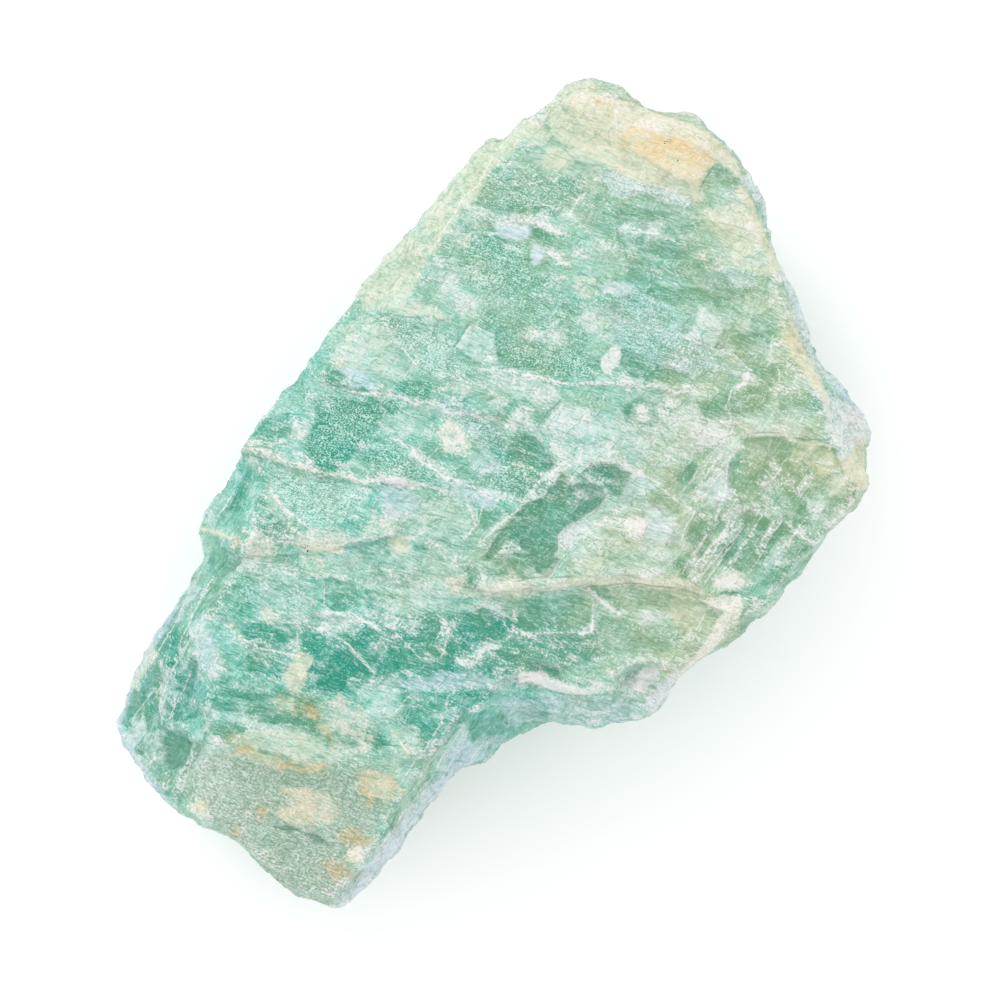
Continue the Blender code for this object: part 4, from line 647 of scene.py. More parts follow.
# White hairlines of the face: edges of plates and thin healed cracks
VEINS = [
    [(-3.9, 14.5), (-2.4, 16.8), (0, 15.9)], [(4.9, 6.8), (6.5, 8.9), (7.4, 9)],
    [(9, 8), (8.4, 6.6), (8.8, 5.4), (8.4, 4.6)], [(9.4, 3.4), (9.8, 5.4), (9.4, 7.8)],
    [(5, 6.4), (6, 5.6), (6.6, 5)], [(1.8, 4.7), (4.6, 3.6)], [(2.4, 3), (5, 2)],
    [(3, -0.2), (5, 2), (6.9, 4)], [(3.8, 0), (5.6, 1.2), (7.6, 3.2)], [(8, 2.4), (7.2, 0.8)],
    [(9, 2.8), (12, 3.4), (13.6, 2.8)],
    [(11.2, -0.2), (9.8, -1.6), (8.6, -2.4), (7.2, -3.2), (6.3, -4), (6.2, -4.8), (6.9, -5.4)],
    [(6.8, -6.2), (5.4, -8.2)], [(6.3, -6.3), (5, -8)], [(-1, -0.9), (-1.8, -3), (-3, -4.5)],
    [(-4.2, -7.2), (-3, -6.9), (-1.9, -6.9)], [(-13.6, 4.2), (-12.4, 5)],
    [(-8.2, 4.8), (-6, 3.2), (-4.4, 2.2)], [(-12.8, 1.6), (-10, 0.4)],
    [(-6.4, 12.6), (-5, 12.2), (-3.6, 11.4)], [(-5.6, 4.6), (-7.6, 3.4)],
    [(-13.4, -7.6), (-12, -7.6)], [(-8.8, -4.6), (-6, -3.2)],
    [(19.2, 15.4), (20.4, 14.9), (22, 14.6), (22.8, 15.2)], [(27.4, 13.2), (27.6, 15.8)],
    [(25.6, 12.3), (27.6, 10.2)], [(23.8, 14), (25.5, 12.3), (24, 10.2)],
    [(22.8, 8.6), (23.6, 10.4)], [(20, 7.8), (22, 7.1), (24, 7.6)], [(28.2, 11), (28.3, 12.4)],
    [(17, 9.6), (19, 10.4), (20.6, 10.2)],
    [(24, 6.4), (25.2, 5.9), (29, 5.8), (30.2, 5.2), (33, 5)], [(18.4, 0), (21, 3.6), (23.8, 6.6)],
    [(19.6, 0), (22.6, 4), (24, 5.8)], [(23, 0.8), (23.4, 3.8)], [(28.8, 3.4), (27.2, 0.8)],
    [(30.2, 0.2), (31.6, 2.2)], [(31, 2), (30, 0.4)], [(17.6, -0.2), (18.2, -0.8), (19.8, -1.4)],
    [(19.8, -1.8), (19, -3.4), (18.6, -4.6)], [(23, 0.4), (22, -1.6)], [(24, -0.6), (22.8, -2.4)],
    [(22.4, -1.6), (20.6, -5), (19.2, -7.4)], [(23.2, -4), (21.6, -6.2), (20, -8.6)],
    [(24.2, -4.2), (22.4, -6.8), (21, -8.8)], [(25.4, -4.2), (23.4, -7.4)],
    [(26.4, -5.2), (27.8, -2.6)], [(28.2, -5.6), (30, -3.8)],
    [(29, -2.6), (30.8, -3.8), (31.4, -4.8), (32.6, -5.6)], [(31.6, -4.6), (33, -4.4)],
    [(21.6, -11), (20.2, -13.4)], [(24.2, -11.4), (21.6, -15), (19, -17.4)],
    [(23, -12), (20.4, -15.6)], [(1.6, -12.2), (2, -13.4), (1.2, -14.6)],
    [(2.4, -13.6), (3.6, -14.4), (4.4, -13.9), (6, -13.8), (8, -13.7), (9.7, -13.6)],
    [(9.6, -11.2), (9.7, -13.5)], [(0.6, -12.4), (1.4, -13.8)],
    [(-13.5, -12.6), (-11.4, -13.6), (-10.2, -12.4), (-8.8, -12.4)],
    [(-9.8, -14), (-8.4, -15.2), (-7.6, -16.2)],
    [(-4, -12.8), (-4.2, -13.6), (-4.8, -14.6), (-5.2, -16)],
    [(-5.4, -12.4), (-5.2, -13.6), (-5.6, -14.4)], [(-19.6, -13), (-19.8, -15.4)],
    [(-23.6, -15.2), (-21.8, -15.6), (-20.4, -16)], [(-14, -15.8), (-12.4, -17.4)],
    [(-27, -13), (-25.6, -14.4)], [(-27.2, -14), (-25.8, -14.8)], [(-24.6, -14.6), (-22.4, -15.6)],
    [(-17, -9), (-16.9, -11.4), (-15, -11.8)], [(2, 30.8), (3.6, 30.9), (5, 31.2)],
    [(0.2, 33), (1.6, 33), (2.8, 32.6)], [(3, 28.9), (4.8, 28.9), (5.8, 28.5)],
    [(-0.2, 26.6), (1, 26.9), (3.6, 26.3)], [(0.6, 25.2), (2.2, 24.4), (2.6, 23.9)],
    [(12, 38.6), (16.5, 37.2), (20, 36.4)], [(11.9, 38.2), (12.1, 36.2)],
    [(13.2, 36.9), (16, 36.2), (19, 35.2)], [(-26.2, 0.2), (-28, -2.8)],
    [(-29.6, -3.4), (-28, -3.6), (-26, -4.4)],
    [(-28.6, -6.2), (-30.6, -10), (-32, -13), (-34.5, -17)],
    [(-28, -8), (-29.6, -11), (-31.4, -14.6), (-32.2, -17), (-34, -20)],
    [(-30.2, -13.8), (-31.8, -17), (-33.8, -21), (-33.4, -23)], [(-34, -19.4), (-36.2, -22.4)],
    [(-30.4, -17.6), (-32.6, -22.4)], [(-29.4, -25.2), (-30.6, -27.2), (-31.2, -29.6)],
    [(-29, -21.4), (-28.6, -23.6)], [(-4.6, -20), (-5.6, -23.2), (-7.4, -26.4)],
    [(-8.2, -19.8), (-10.4, -22)], [(-3.2, -23), (-6.2, -28), (-9.6, -32.6), (-12, -35.8)],
    [(-1, -24.6), (-2.4, -26.6)], [(-2.2, -21.8), (-1.4, -21), (1.6, -21.2)],
    [(-5.4, -22), (-4, -20.4)], [(-7.8, -26.2), (-9.6, -29)],
]

# Dark hairlines of the face: open cracks and the shaded sides of plates
CRACKS = [
    [(-4.1, 14.4), (-2.7, 16.9)], [(-3.2, 13.8), (-1.2, 13)], [(4.4, 7), (5.3, 8.3), (6.3, 9.3)],
    [(2, -8.6), (4, -8.2), (8, -8.1)], [(9, -9.3), (12, -9), (15, -9), (18, -9.3)],
    [(-1.8, -7.2), (-1.3, -8.4), (-2.2, -9.4)], [(-11, 17.9), (-7, 17.6)],
    [(20.4, 30.4), (21.9, 32.8)], [(22.6, -5), (20.2, -8.4)], [(23.6, -5.4), (21.6, -8.2)],
    [(21.4, -4.8), (19.4, -7.8)], [(25.2, 6.1), (28.6, 6.2)], [(22.4, -9.8), (24.4, -9.8)],
    [(-3, -21.6), (-5.2, -25.4)], [(-4.4, -23.9), (-8.6, -30.6)], [(-6.6, -28.2), (-7.6, -30.2)],
    [(-9.4, -31.4), (-11.4, -34.4)], [(-25.6, 0.4), (-27.6, -3)], [(-28.4, -9.6), (-30.2, -12.6)],
    [(-29.8, -7.4), (-31.6, -11.2)], [(-29.8, -25.6), (-31, -27.6)],
    [(-22.2, -33.2), (-19.8, -33.5), (-17, -34.4)], [(-20, -5), (-18.4, -5.6)],
    [(-4.6, -3.6), (-3.2, -4.6)], [(-2.6, 5.4), (-1.8, 4.6)], [(29.8, 5.6), (33.2, 5.4)],
    [(6.2, -6.4), (5, -8.2)], [(0.6, 12.6), (3.4, 12.8)], [(-25.2, 4.8), (-22, 4.6)],
]

# Crushed and stained spots of the face: kind, strength, x, y and radius
SPOTS = [
    ("crush", 0.7, -17, 9.2, 0.5), ("crush", 0.7, -19.4, 6.3, 0.6), ("crush", 0.7, 3.4, 15.8, 0.7),
    ("crush", 0.6, 6, 15.6, 0.8), ("crush", 0.7, 9.6, 17.2, 0.9), ("crush", 0.7, -3, 18.8, 0.9),
    ("crush", 0.6, -4.4, 21, 0.8), ("crush", 0.8, 14.8, 8, 0.7), ("crush", 0.7, -11.5, -15.3, 0.7),
    ("crush", 0.8, -8.2, -13.4, 0.35), ("crush", 0.8, -6.8, -16.2, 0.4),
    ("crush", 0.8, 15.1, -12.2, 0.7), ("crush", 0.6, 8, -16.8, 0.4),
    ("crush", 0.6, 28.3, -6.6, 0.5), ("crush", 0.6, 32, -1.8, 0.6), ("crush", 0.6, 17, -4.8, 0.5),
    ("crush", 0.7, -13.8, -23.4, 0.6), ("crush", 0.6, -28, -21.4, 0.4),
    ("crush", 0.6, 7.4, 3.4, 0.8), ("crush", 0.5, 25.2, 16.8, 0.6),
    ("cream", 0.8, -14, -36.2, 0.8), ("cream", 0.7, -29.4, -31.2, 0.8),
    ("cream", 0.6, -11, -28.8, 0.7), ("rust", 0.8, -12.6, -30.6, 0.4),
    ("rust", 0.7, -12.9, -28.7, 0.3), ("rust", 0.6, -23.2, -31.6, 0.5),
    ("rust", 0.6, -26, -33.8, 0.3), ("rust", 0.8, -25.7, -4.8, 0.4), ("rust", 0.6, 36.4, 5.4, 0.4),
    ("rust", 0.7, -11.4, -15.3, 0.15), ("pit", 0.6, 16.9, 35, 0.5), ("pit", 0.4, 18.2, 33.1, 0.3),
    ("pit", 0.6, -18.9, -5.4, 0.5), ("pit", 0.4, 36.2, 6.8, 0.4), ("pit", 0.3, 24, 30.6, 0.4),
    ("pit", 0.3, 10, -19.8, 0.4),
]

# Broken steps of the face, lower on the right of their way: height, reach and way
STEPS = [
    (0.2, 2.5, [(-17, 11.2), (-14, 10.4), (-10, 10.1), (-8, 9.4), (-5, 8.5), (-2.5, 8.2),
     (0.4, 7.6)]),
    (0.22, 2.5, [(-25.4, 4.2), (-22, 3.4), (-18, 1.9), (-13, 0.9), (-8, 1), (-4, 0)]),
    (0.2, 2.5, [(-24.8, -6.2), (-22, -6), (-18, -5.8), (-12.5, -4.8), (-10.2, -4.1)]),
    (0.15, 3, [(-4.4, -10.6), (-2, -10.2), (0, -9.8), (4, -9.3), (8, -9), (14.6, -9), (18.6, -9.3),
     (20.4, -10.4)]),
    (0.15, 2, [(-1.6, 12.4), (6.4, 10.9), (12, 11), (20, 10)]),
    (0.2, 2, [(24, 7), (26, 5.8), (29, 5.9), (33.4, 4.7)]),
    (0.2, 1.2, [(18.7, -7.6), (22, -2.6)]),
    (0.2, 1.2, [(20.4, -8.4), (24.6, -3.4)]),
    (0.2, 1.2, [(26, -6.8), (28.6, -2.4)]),
    (0.4, 2, [(-31.4, -30), (-31, -27.6), (-29.6, -25.2), (-28.6, -23.4)]),
]

# How far the edge of each kind of mark fades, in millimetres
FADE = {"clear": 0.6, "milk": 0.9, "crush": 1.0, "cream": 0.5, "rust": 0.8, "blue": 0.9,
        "grain": 2.0, "sand": 1.4, "lamina": 2.0, "pit": 0.6}
SEAM_FADE = 0.35
RISE_FADE = 0.4
PLATE_FADE = 0.4  # share of the fade that is left at the crisp border of a raised plate
RIM_MOST, RIM_GAP, RIM_FADE = 0.25, 0.3, 1.4  # faint crushed rim round clear and milky parts
RIMMED = 0.5  # clear and milky parts that are stronger than this have the rim
SEAM_MILK = 0.6  # strength of the milk along a crushed seam, as a share of the seam's
SPOT_CRUSH = 0.65  # strength of a crushed spot under its milk, as a share
SPOT_HALO = 0.3  # how much wider the milk round a crushed spot is, in millimetres
WANDER = ((0.22, 2.6), (0.12, 0.9))  # how far the marks' borders stray, over which size
OUTSIDE = -0.5  # strength of a mark well outside it
CHANCE_MOST = 0.8  # strongest that a chance mark gets
REACH = 2.0  # how far round a mark its fade is worked out, in millimetres
LINE = 0.15  # width of the painted highlight and painted shade along the edges of the plates, in millimetres

# Sizes along the normals of the streaks, of the laminae and of the broad face, in millimetres
TERRACE_SIZES = (1.5, 4.6, 3.0)
BLOCK_SIZES = (1.6, 3.1, 2.2)
CHIP_SIZES = (0.8, 1.5, 1.2)
LAMINA_SIZES = (14.0, 0.75, 9.0)
STREAK_SIZES = (1.7, 4.0, 3.0)
VEIL_SIZES = (2.6, 4.5, 6.0)

# Textures of the stone: the turn of each and its sizes in millimetres. Breaks are the ragged
# ends of the cleavages, crumbs those of crushed feldspar. The albite grains are mostly finer
# than 0.1 mm, and are drawn this coarse to show. Strokes run down the streaks or up the laminae.
TEXTURES = {
    "breaks": (STREAK_TURN - 6, (1.4, 0.6, 0.8)),
    "crumbs": (-32, (0.31, 0.18, 0.22)),
    "grains": (STREAK_TURN, (0.17, 0.125, 0.15)),
    "down": (STREAK_TURN - 4, (0.8, 0.16, 0.4)),
    "up": (LAMINA_TURN, (0.8, 0.16, 0.8)),
}
# Plates between the cleavages: their sizes, the first two sizes in the laminated parts, and how
# much the breaks bend them
BROAD_PLATES = ((1.9, 3.4, 3.0), (6.0, 2.0), 0.35)
SMALL_PLATES = ((0.7, 1.3, 1.4), (2.6, 0.8), 0.6)
CRACK_WIDTH, VEIN_WIDTH = 0.11, 0.12
MICROCLINE_IOR = 1.53
BUMP_DEPTH = 0.16  # depth of the finest relief, in millimetres
SCATTER_DEPTH = 1.2  # how far light scatters in the stone, in millimetres

WELD = 0.001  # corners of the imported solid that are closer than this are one, in millimetres
SMOOTHING = 4  # rounds that soften the solid's facets before the relief
SEAT = 1.2  # height over which the relief fades in above the resting spot, in millimetres
FLANK_EDGE, FLANK_FADE = -28, 3  # where in X the lower left flank starts, and how softly
# Rounds that smooth how far a vertex faces up or sideways, and the levels that edges stand out of
FACING_ROUNDS, SIDE_ROUNDS = 12, 8
EDGE_ROUNDS = {"fine_edge": 3, "broad_edge": 26}

FLOOR_GAP = 0.02  # how far the floor lies under the stone, in millimetres
KEY_PLACE = Vector((-0.45, 0.55, 0.75))  # place and width of the large soft light, in metres
KEY_SIZE = 0.5
EYE_X, EYE_Y = 0.5, -0.55  # the camera looks straight down on this place, in millimetres
RIM_SHARE = 0.8  # height of the stone's rim as a share of its top


def linear(code):
    """An sRGB hex colour as linear red, green and blue."""
    parts = [int(code[i:i + 2], 16) / 255 for i in (1, 3, 5)]
    return [c / 12.92 if c <= 0.04045 else ((c + 0.055) / 1.055) ** 2.4 for c in parts]


def colour(name, description, code):
    return bpy.props.FloatVectorProperty(
        name=name, description=description, default=linear(code), size=3, min=0, max=1,
        subtype="COLOR")


def length(name, description, millimetres):
    return bpy.props.FloatProperty(
        name=name, description=description, default=millimetres * MM, min=0,
        subtype="DISTANCE", unit="LENGTH", precision=5)


class AmazoniteSizes(bpy.types.PropertyGroup):
    grid: length("Grid", "Spacing of the fine surface before it is thinned", 0.29)
    terrace: length("Terraces", "Height of the cleavage terraces", 0.26)
    blocks: length("Blocks", "Height of the small oblique blocks", 0.16)
    laminae: length("Laminae", "Depth of the laminae on the sides", 0.16)
    hackle: length("Hackle", "Roughness of the crushed parts", 0.10)
    flank: length("Flank", "Extra thickness of the lower left flank", 0.4)
    sink: length("Windows", "How far the clear windows are sunk", 0.18)
    triangles: bpy.props.IntProperty(
        name="Triangles", description="Triangles of the finished stone", default=192000,
        min=1000, max=199000)


class AmazoniteColours(bpy.types.PropertyGroup):
    teal: colour("Teal ground", "Feldspar coloured by lead and water", "#69B1A3")
    olive: colour("Olive ground", "Feldspar of the yellower parts", "#A9B293")
    deep_teal: colour("Deep teal", "Clear teal feldspar seen into", "#08806B")
    deep_olive: colour("Deep olive", "Clear olive feldspar seen into", "#6B8D68")
    milk_cool: colour("Cool milk", "Milky feldspar in the teal parts", "#C4D3D0")
    milk_warm: colour("Warm milk", "Milky feldspar in the olive parts", "#CAD2C8")
    grain_cool: colour("Cool grain", "Fine albite grains in the teal parts", "#B8DBD2")
    grain_warm: colour("Warm grain", "Fine albite grains in the olive parts", "#D3DFD6")
    # Painted sheen: the bright surroundings reflected bluish in cleavage faces and steep sides,
    # laid on as colour
    blue: colour("Blue sheen", "Scattering cleavage faces", "#BCC9DA")
    cream: colour("Cream", "Weathered edges and the tablet", "#D7CCAC")
    rust: colour("Rust", "Iron stain in the cracks", "#CD9F5A")
    sand: colour("Sand", "Weathered sandy feldspar of the lower end", "#A0A59B")
    crush: colour("Crushed", "Crushed white feldspar", "#DDD8D8")
    shadow: colour("Shadow", "Open cracks and shaded edges", "#4F7F6E")
    pit: colour("Pits", "Small black grains", "#3B382C")


class AmazoniteStage(bpy.types.PropertyGroup):
    floor: length("Floor", "Side of the pale floor", 3000)
    photo_width: length("Frame", "Width that the camera frames at the stone's rim", 100)
    lens: bpy.props.FloatProperty(
        name="Lens", description="Focal length", default=400, min=1, unit="CAMERA")
    world: bpy.props.FloatProperty(
        name="Surroundings", description="Strength of the even light", default=1.27, min=0)
    key: bpy.props.FloatProperty(
        name="Key", description="Power of the large soft light", default=2.5, min=0,
        unit="POWER")
    card: colour("Card", "Matt white photo card", "#F8F8F8")


def smooth_step(value):
    value = np.clip(value, 0.0, 1.0)
    return value * value * (3.0 - 2.0 * value)


def noise_at(points, sizes, seed=0.0):
    """Smooth noise from about -1 to 1, with features of the given sizes in millimetres."""
    places = points / np.array(sizes) + seed
    return np.array([noise.noise(place) for place in places.tolist()])


def cells_at(places):
    """A level from -1 to 1 for each whole cell of the places. Nearly half are at level 0."""
    level = np.array([noise.cell(place) for place in places.tolist()])
    return np.sign(level) * np.maximum(np.abs(level) - 0.45, 0.0) / 0.55


def along_cleavages(points, sizes):
    """How far each point lies along the normals of the three cleavages, counted in features of
    these sizes in millimetres."""
    normals = (STREAK_NORMAL, LAMINA_NORMAL, FACE_NORMAL)
    return np.column_stack([points @ normal / size for normal, size in zip(normals, sizes)])


def block_levels(points, sizes, seed):
    """Levels of the bent oblique blocks of these sizes between the three cleavages."""
    bend = 0.3 * noise_at(points, 7.0, seed)
    shift = np.column_stack((bend, 0.7 * bend, np.full(len(points), seed)))
    return cells_at(along_cleavages(points, sizes) + shift)


def stepped(value, steps, ramp):
    """Value rounded to levels, with a short ramp between them."""
    scaled = value * steps
    level = np.floor(scaled)
    return (level + np.clip((scaled - level - 0.5) / ramp + 0.5, 0.0, 1.0)) / steps


def line_distance(plan, line):
    """Distance of each place of the plan from a line through some corners."""
    best = np.full(len(plan), np.inf)
    for start, end in zip(line, line[1:]):
        start = np.array(start)
        along = np.array(end) - start
        offset = plan - start
        run = np.clip(offset @ along / (along @ along), 0.0, 1.0)
        gap = offset - run[:, None] * along
        best = np.minimum(best, np.hypot(gap[:, 0], gap[:, 1]))
    return best


def outline_distance(plan, corners):
    """Distance from a closed outline, negative inside it."""
    ends = corners[1:] + corners[:1]
    within = np.zeros(len(plan), bool)
    for (x0, y0), (x1, y1) in zip(corners, ends):
        if y0 != y1:
            crossed = (plan[:, 1] < y0) != (plan[:, 1] < y1)
            reached = x0 + (plan[:, 1] - y0) * (x1 - x0) / (y1 - y0)
            within ^= crossed & (plan[:, 0] < reached)
    gap = line_distance(plan, corners + corners[:1])
    return np.where(within, -gap, gap)


def side_of(plan, way):
    """Positive on the left of a way and negative on its right, by its closest stretch."""
    best = np.full(len(plan), np.inf)
    side = np.zeros(len(plan))
    for start, end in zip(way, way[1:]):
        gap = line_distance(plan, [start, end])
        offset = plan - start
        cross = (end[0] - start[0]) * offset[:, 1] - (end[1] - start[1]) * offset[:, 0]
        side = np.where(gap < best, cross, side)
        best = np.minimum(best, gap)
    return side


def nearest_way(plan, ways):
    """Distance to the nearest of some ways, negative on its right, and without the sign."""
    best = np.full(len(plan), REACH)
    signed = best.copy()
    for way in ways:
        near = close_to(plan, way, REACH)
        gap = line_distance(plan[near], way)
        nearer = gap < best[near]
        near, gap = near[nearer], gap[nearer]
        best[near] = gap
        signed[near] = np.copysign(gap, side_of(plan[near], way))
    return signed, best


def close_to(plan, way, reach):
    """Which places of the plan lie within a reach of a way's bounding box."""
    low, high = np.min(way, axis=0) - reach, np.max(way, axis=0) + reach
    return np.nonzero(((plan > low) & (plan < high)).all(axis=1))[0]


def vertex_vectors(mesh, name):
    """The vertices' places or normals, one row for each."""
    flat = np.empty(len(mesh.vertices) * 3, np.float32)
    mesh.vertices.foreach_get(name, flat)
    return flat.reshape(-1, 3).astype(float)


def set_mesh_points(mesh, points):
    mesh.vertices.foreach_set("co", (points * MM).astype(np.float32).ravel())
    mesh.update()


def neighbour_mean(mesh):
    """A function that averages any value over each vertex's neighbours."""
    flat = np.empty(len(mesh.edges) * 2, np.int32)
    mesh.edges.foreach_get("vertices", flat)
    first, second = flat[0::2], flat[1::2]
    count = len(mesh.vertices)
    degree = np.maximum(np.bincount(first, minlength=count)
                        + np.bincount(second, minlength=count), 1)

    def mean(values):
        columns = values.reshape(count, -1)
        total = np.empty_like(columns)
        for i in range(columns.shape[1]):
            column = columns[:, i]
            total[:, i] = (np.bincount(first, column[second], count)
                           + np.bincount(second, column[first], count))
        return (total / degree[:, None]).reshape(values.shape)

    return mean


def relaxed(values, mean, rounds):
    """Values that move half way to their neighbours' mean in each round."""
    for _ in range(rounds):
        values = 0.5 * values + 0.5 * mean(values)
    return values


def apply_modifier(piece, kind, **settings):
    """Adds a modifier, sets it and makes its result the piece's own mesh."""
    modifier = piece.modifiers.new(kind.title(), kind)
    for key, value in settings.items():
        setattr(modifier, key, value)
    graph = bpy.context.evaluated_depsgraph_get()
    made = bpy.data.meshes.new_from_object(piece.evaluated_get(graph))
    piece.modifiers.clear()
    old = piece.data
    piece.data = made
    bpy.data.meshes.remove(old)


def face_marks(points, normals, mean):
    """The strength of each kind of mark at each vertex, and the rise of the surface there. The
    photographed face has its own marks, and the rest of the stone has like ones by chance."""
    wander = np.column_stack([
        sum(most * noise_at(points, size, seed) for most, size in WANDER)
        for seed in (1.3, 4.1)])
    plan = points[:, :2] + wander
    thinned = 0.25 * np.abs(noise_at(points, 1.4, 8.8))
    marks = {kind: np.full(len(points), OUTSIDE) for kind in (*FADE, "seam")}
    marks["rise"] = np.zeros(len(points))

    def lay(kind, near, gap, most, fade):
        level = np.clip(0.5 - gap / fade, OUTSIDE, most)
        marks[kind][near] = np.maximum(marks[kind][near], level)

    for kinds, *outlines in PATCHES:
        sharp = PLATE_FADE if kinds.get("rise", 0) > 0 else 1
        rimmed = max(kinds.get("clear", 0), kinds.get("milk", 0)) > RIMMED
        for corners in outlines:
            near = close_to(plan, corners, REACH)
            gap = outline_distance(plan[near], corners)
            for kind, most in kinds.items():
                if kind == "rise":
                    marks["rise"][near] += most * smooth_step(0.5 - gap / RISE_FADE)
                else:
                    lay(kind, near, gap, most, FADE[kind] * sharp)
            if rimmed:
                rim = np.clip(RIM_MOST - np.abs(gap - RIM_GAP) / RIM_FADE, OUTSIDE, 1)
                marks["seam"][near] = np.maximum(marks["seam"][near], rim)
    for kind, most, half, way in SEAMS:
        near = close_to(plan, way, REACH)
        gap = line_distance(plan[near], way) - half + thinned[near]
        lay(kind, near, gap, most, SEAM_FADE)
        if kind == "crush":
            lay("milk", near, gap, SEAM_MILK * most, FADE["milk"])
    for kind, most, x, y, radius in SPOTS:
        near = close_to(plan, [(x, y)], REACH)
        gap = np.hypot(plan[near, 0] - x, plan[near, 1] - y) - radius + thinned[near]
        if kind == "crush":
            lay("milk", near, gap - SPOT_HALO, most, FADE["milk"])
            most *= SPOT_CRUSH
        lay(kind, near, gap, most, FADE[kind])
    for height, reach, way in STEPS:
        near = close_to(plan, way, reach)
        gap = line_distance(plan[near], way)
        upper = np.sign(side_of(plan[near], way))
        marks["rise"][near] += 0.5 * height * upper * (1 - smooth_step(gap / reach))
    weight = np.zeros(len(points))
    tone = np.zeros(len(points))
    for x, y, reach, value in GROUNDS:
        near = np.exp(-((plan[:, 0] - x) ** 2 + (plan[:, 1] - y) ** 2) / (2 * reach ** 2))
        near = near + 1e-9
        weight += near
        tone += near * value
    marks["tone"] = tone / weight
    bands = [way for kind, _, _, way in SEAMS if kind in ("crush", "cream")]
    marks["vein"], marks["vein_gap"] = nearest_way(plan, VEINS + bands)
    marks["crack"], marks["crack_gap"] = nearest_way(plan, CRACKS)
    marks.update(chance_marks(points, marks, mean, normals))
    return marks


def chance_marks(points, marks, mean, normals):
    """Mixes the face's own marks with chance ones, by how far a vertex faces up."""
    up = relaxed(normals[:, 2], mean, FACING_ROUNDS)
    seen = smooth_step((up + 0.05 + 0.15 * noise_at(points, 4.0, 2.2)) / 0.3)
    long_way = along_cleavages(points, VEIL_SIZES)
    cloud = noise_at(long_way, 1.0, 3.3)
    other = noise_at(long_way, 1.0, 9.1)
    vein = np.abs(noise_at(points, 8.0, 6.6))
    chance = {
        "tone": np.clip(0.62 + 0.8 * noise_at(points, 17.0, 5.0), 0, 1),
        "clear": 3.0 * (cloud - 0.02),
        "milk": 2.5 * (other - 0.02),
        "crush": np.minimum(0.8 - vein / 0.05, other * 4 + 0.4),
        "seam": 0.3 - 4 * np.abs(cloud - 0.15),
        "cream": 3.0 * (noise_at(long_way, 2.5, 7.2) - 0.3),
        "rust": 3.0 * (noise_at(points, 4.0, 0.7) - 0.42),
        "blue": 2.5 * (noise_at(points, 10.0, 3.9) - 0.05),
        "grain": 2.5 * (noise_at(points, 8.0, 2.6) + 0.1),
        "sand": 2.5 * (noise_at(points, 11.0, 1.4) - 0.25),
        "lamina": np.full(len(points), CHANCE_MOST),
        "pit": np.full(len(points), OUTSIDE),
        "rise": np.zeros(len(points)),
    }
    mixed = {kind: seen * marks[kind] + (1 - seen) * np.clip(value, OUTSIDE, CHANCE_MOST)
             for kind, value in chance.items()}
    for kind in ("vein_gap", "crack_gap"):
        mixed[kind] = seen * marks[kind] + (1 - seen) * REACH
    return mixed


def add_relief(mesh, sizes):
    """Gives the smooth stone its broken surface."""
    mean = neighbour_mean(mesh)
    points = relaxed(vertex_vectors(mesh, "co") / MM, mean, SMOOTHING)
    set_mesh_points(mesh, points)
    normals = vertex_vectors(mesh, "normal")
    marks = face_marks(points, normals, mean)
    side = 1.0 - np.abs(relaxed(normals[:, 2], mean, SIDE_ROUNDS))
    terraces = stepped(noise_at(along_cleavages(points, TERRACE_SIZES), 1.0, 1.9), 4, 0.14)
    blocks = block_levels(points, BLOCK_SIZES, 6.1)
    chips = block_levels(points, CHIP_SIZES, 2.4)
    laminae = block_levels(points, LAMINA_SIZES, 3.7)
    fine = noise_at(points, 0.7, 5.5) + 0.5 * noise_at(points, 0.36, 1.1)
    crush = np.clip(marks["crush"], 0, 1)
    clear = np.clip(marks["clear"], 0, 1) * (1 - crush)
    calm = 1 - 0.75 * clear
    out = sizes.terrace * terraces * calm
    out += sizes.blocks * (blocks + 0.5 * chips) * (0.55 + 0.45 * side) * calm
    out += sizes.laminae * laminae * (0.1 + 0.9 * side)
    out += sizes.hackle * fine * (0.25 + 0.9 * crush + 0.35 * side) * calm
    out += sizes.flank * side * smooth_step((FLANK_EDGE - points[:, 0]) / FLANK_FADE)
    out += MM * marks["rise"] - sizes.sink * clear
    out /= MM
    out *= smooth_step(points[:, 2] / SEAT)
    set_mesh_points(mesh, points + normals * out[:, None])


def add_marks(mesh):
    """Stores each kind of mark, and how far each vertex stands out of the surface round it."""
    mean = neighbour_mean(mesh)
    points = vertex_vectors(mesh, "co") / MM
    normals = vertex_vectors(mesh, "normal")
    marks = face_marks(points, normals, mean)
    bent = points + 0.8 * np.column_stack([noise_at(points, 5.0, s) for s in (0.2, 3.1, 7.7)])
    streaks = along_cleavages(bent, STREAK_SIZES)
    marks["cloud"] = noise_at(bent, 3.0, 1.7) + 0.5 * noise_at(bent, 1.4, 2.9)
    marks["streak"] = noise_at(streaks, 1.0, 4.4) + 0.5 * noise_at(streaks * 2, 1.0, 8.1)
    for name, rounds in EDGE_ROUNDS.items():
        level = relaxed(points, mean, rounds)
        marks[name] = ((points - level) * normals).sum(axis=1)
    for name, values in marks.items():
        attribute = mesh.attributes.new(name, "FLOAT", "POINT")
        attribute.data.foreach_set("value", values.astype(np.float32))


def add_node(tree, kind, *values, inputs=None, out=0, **settings):
    """Adds a shader node with its settings, sets or links its inputs, in order or by name or
    number, and gives one of its outputs."""
    node = tree.nodes.new("ShaderNode" + kind)
    for key, value in settings.items():
        setattr(node, key, value)
    for key, value in {**dict(enumerate(values)), **(inputs or {})}.items():
        socket = node.inputs[key]
        if isinstance(value, bpy.types.NodeSocket):
            tree.links.new(value, socket)
        elif socket.type == "RGBA":
            socket.default_value = (*value[:3], 1.0)
        else:
            socket.default_value = value
    return node.outputs[out] if node.outputs else None


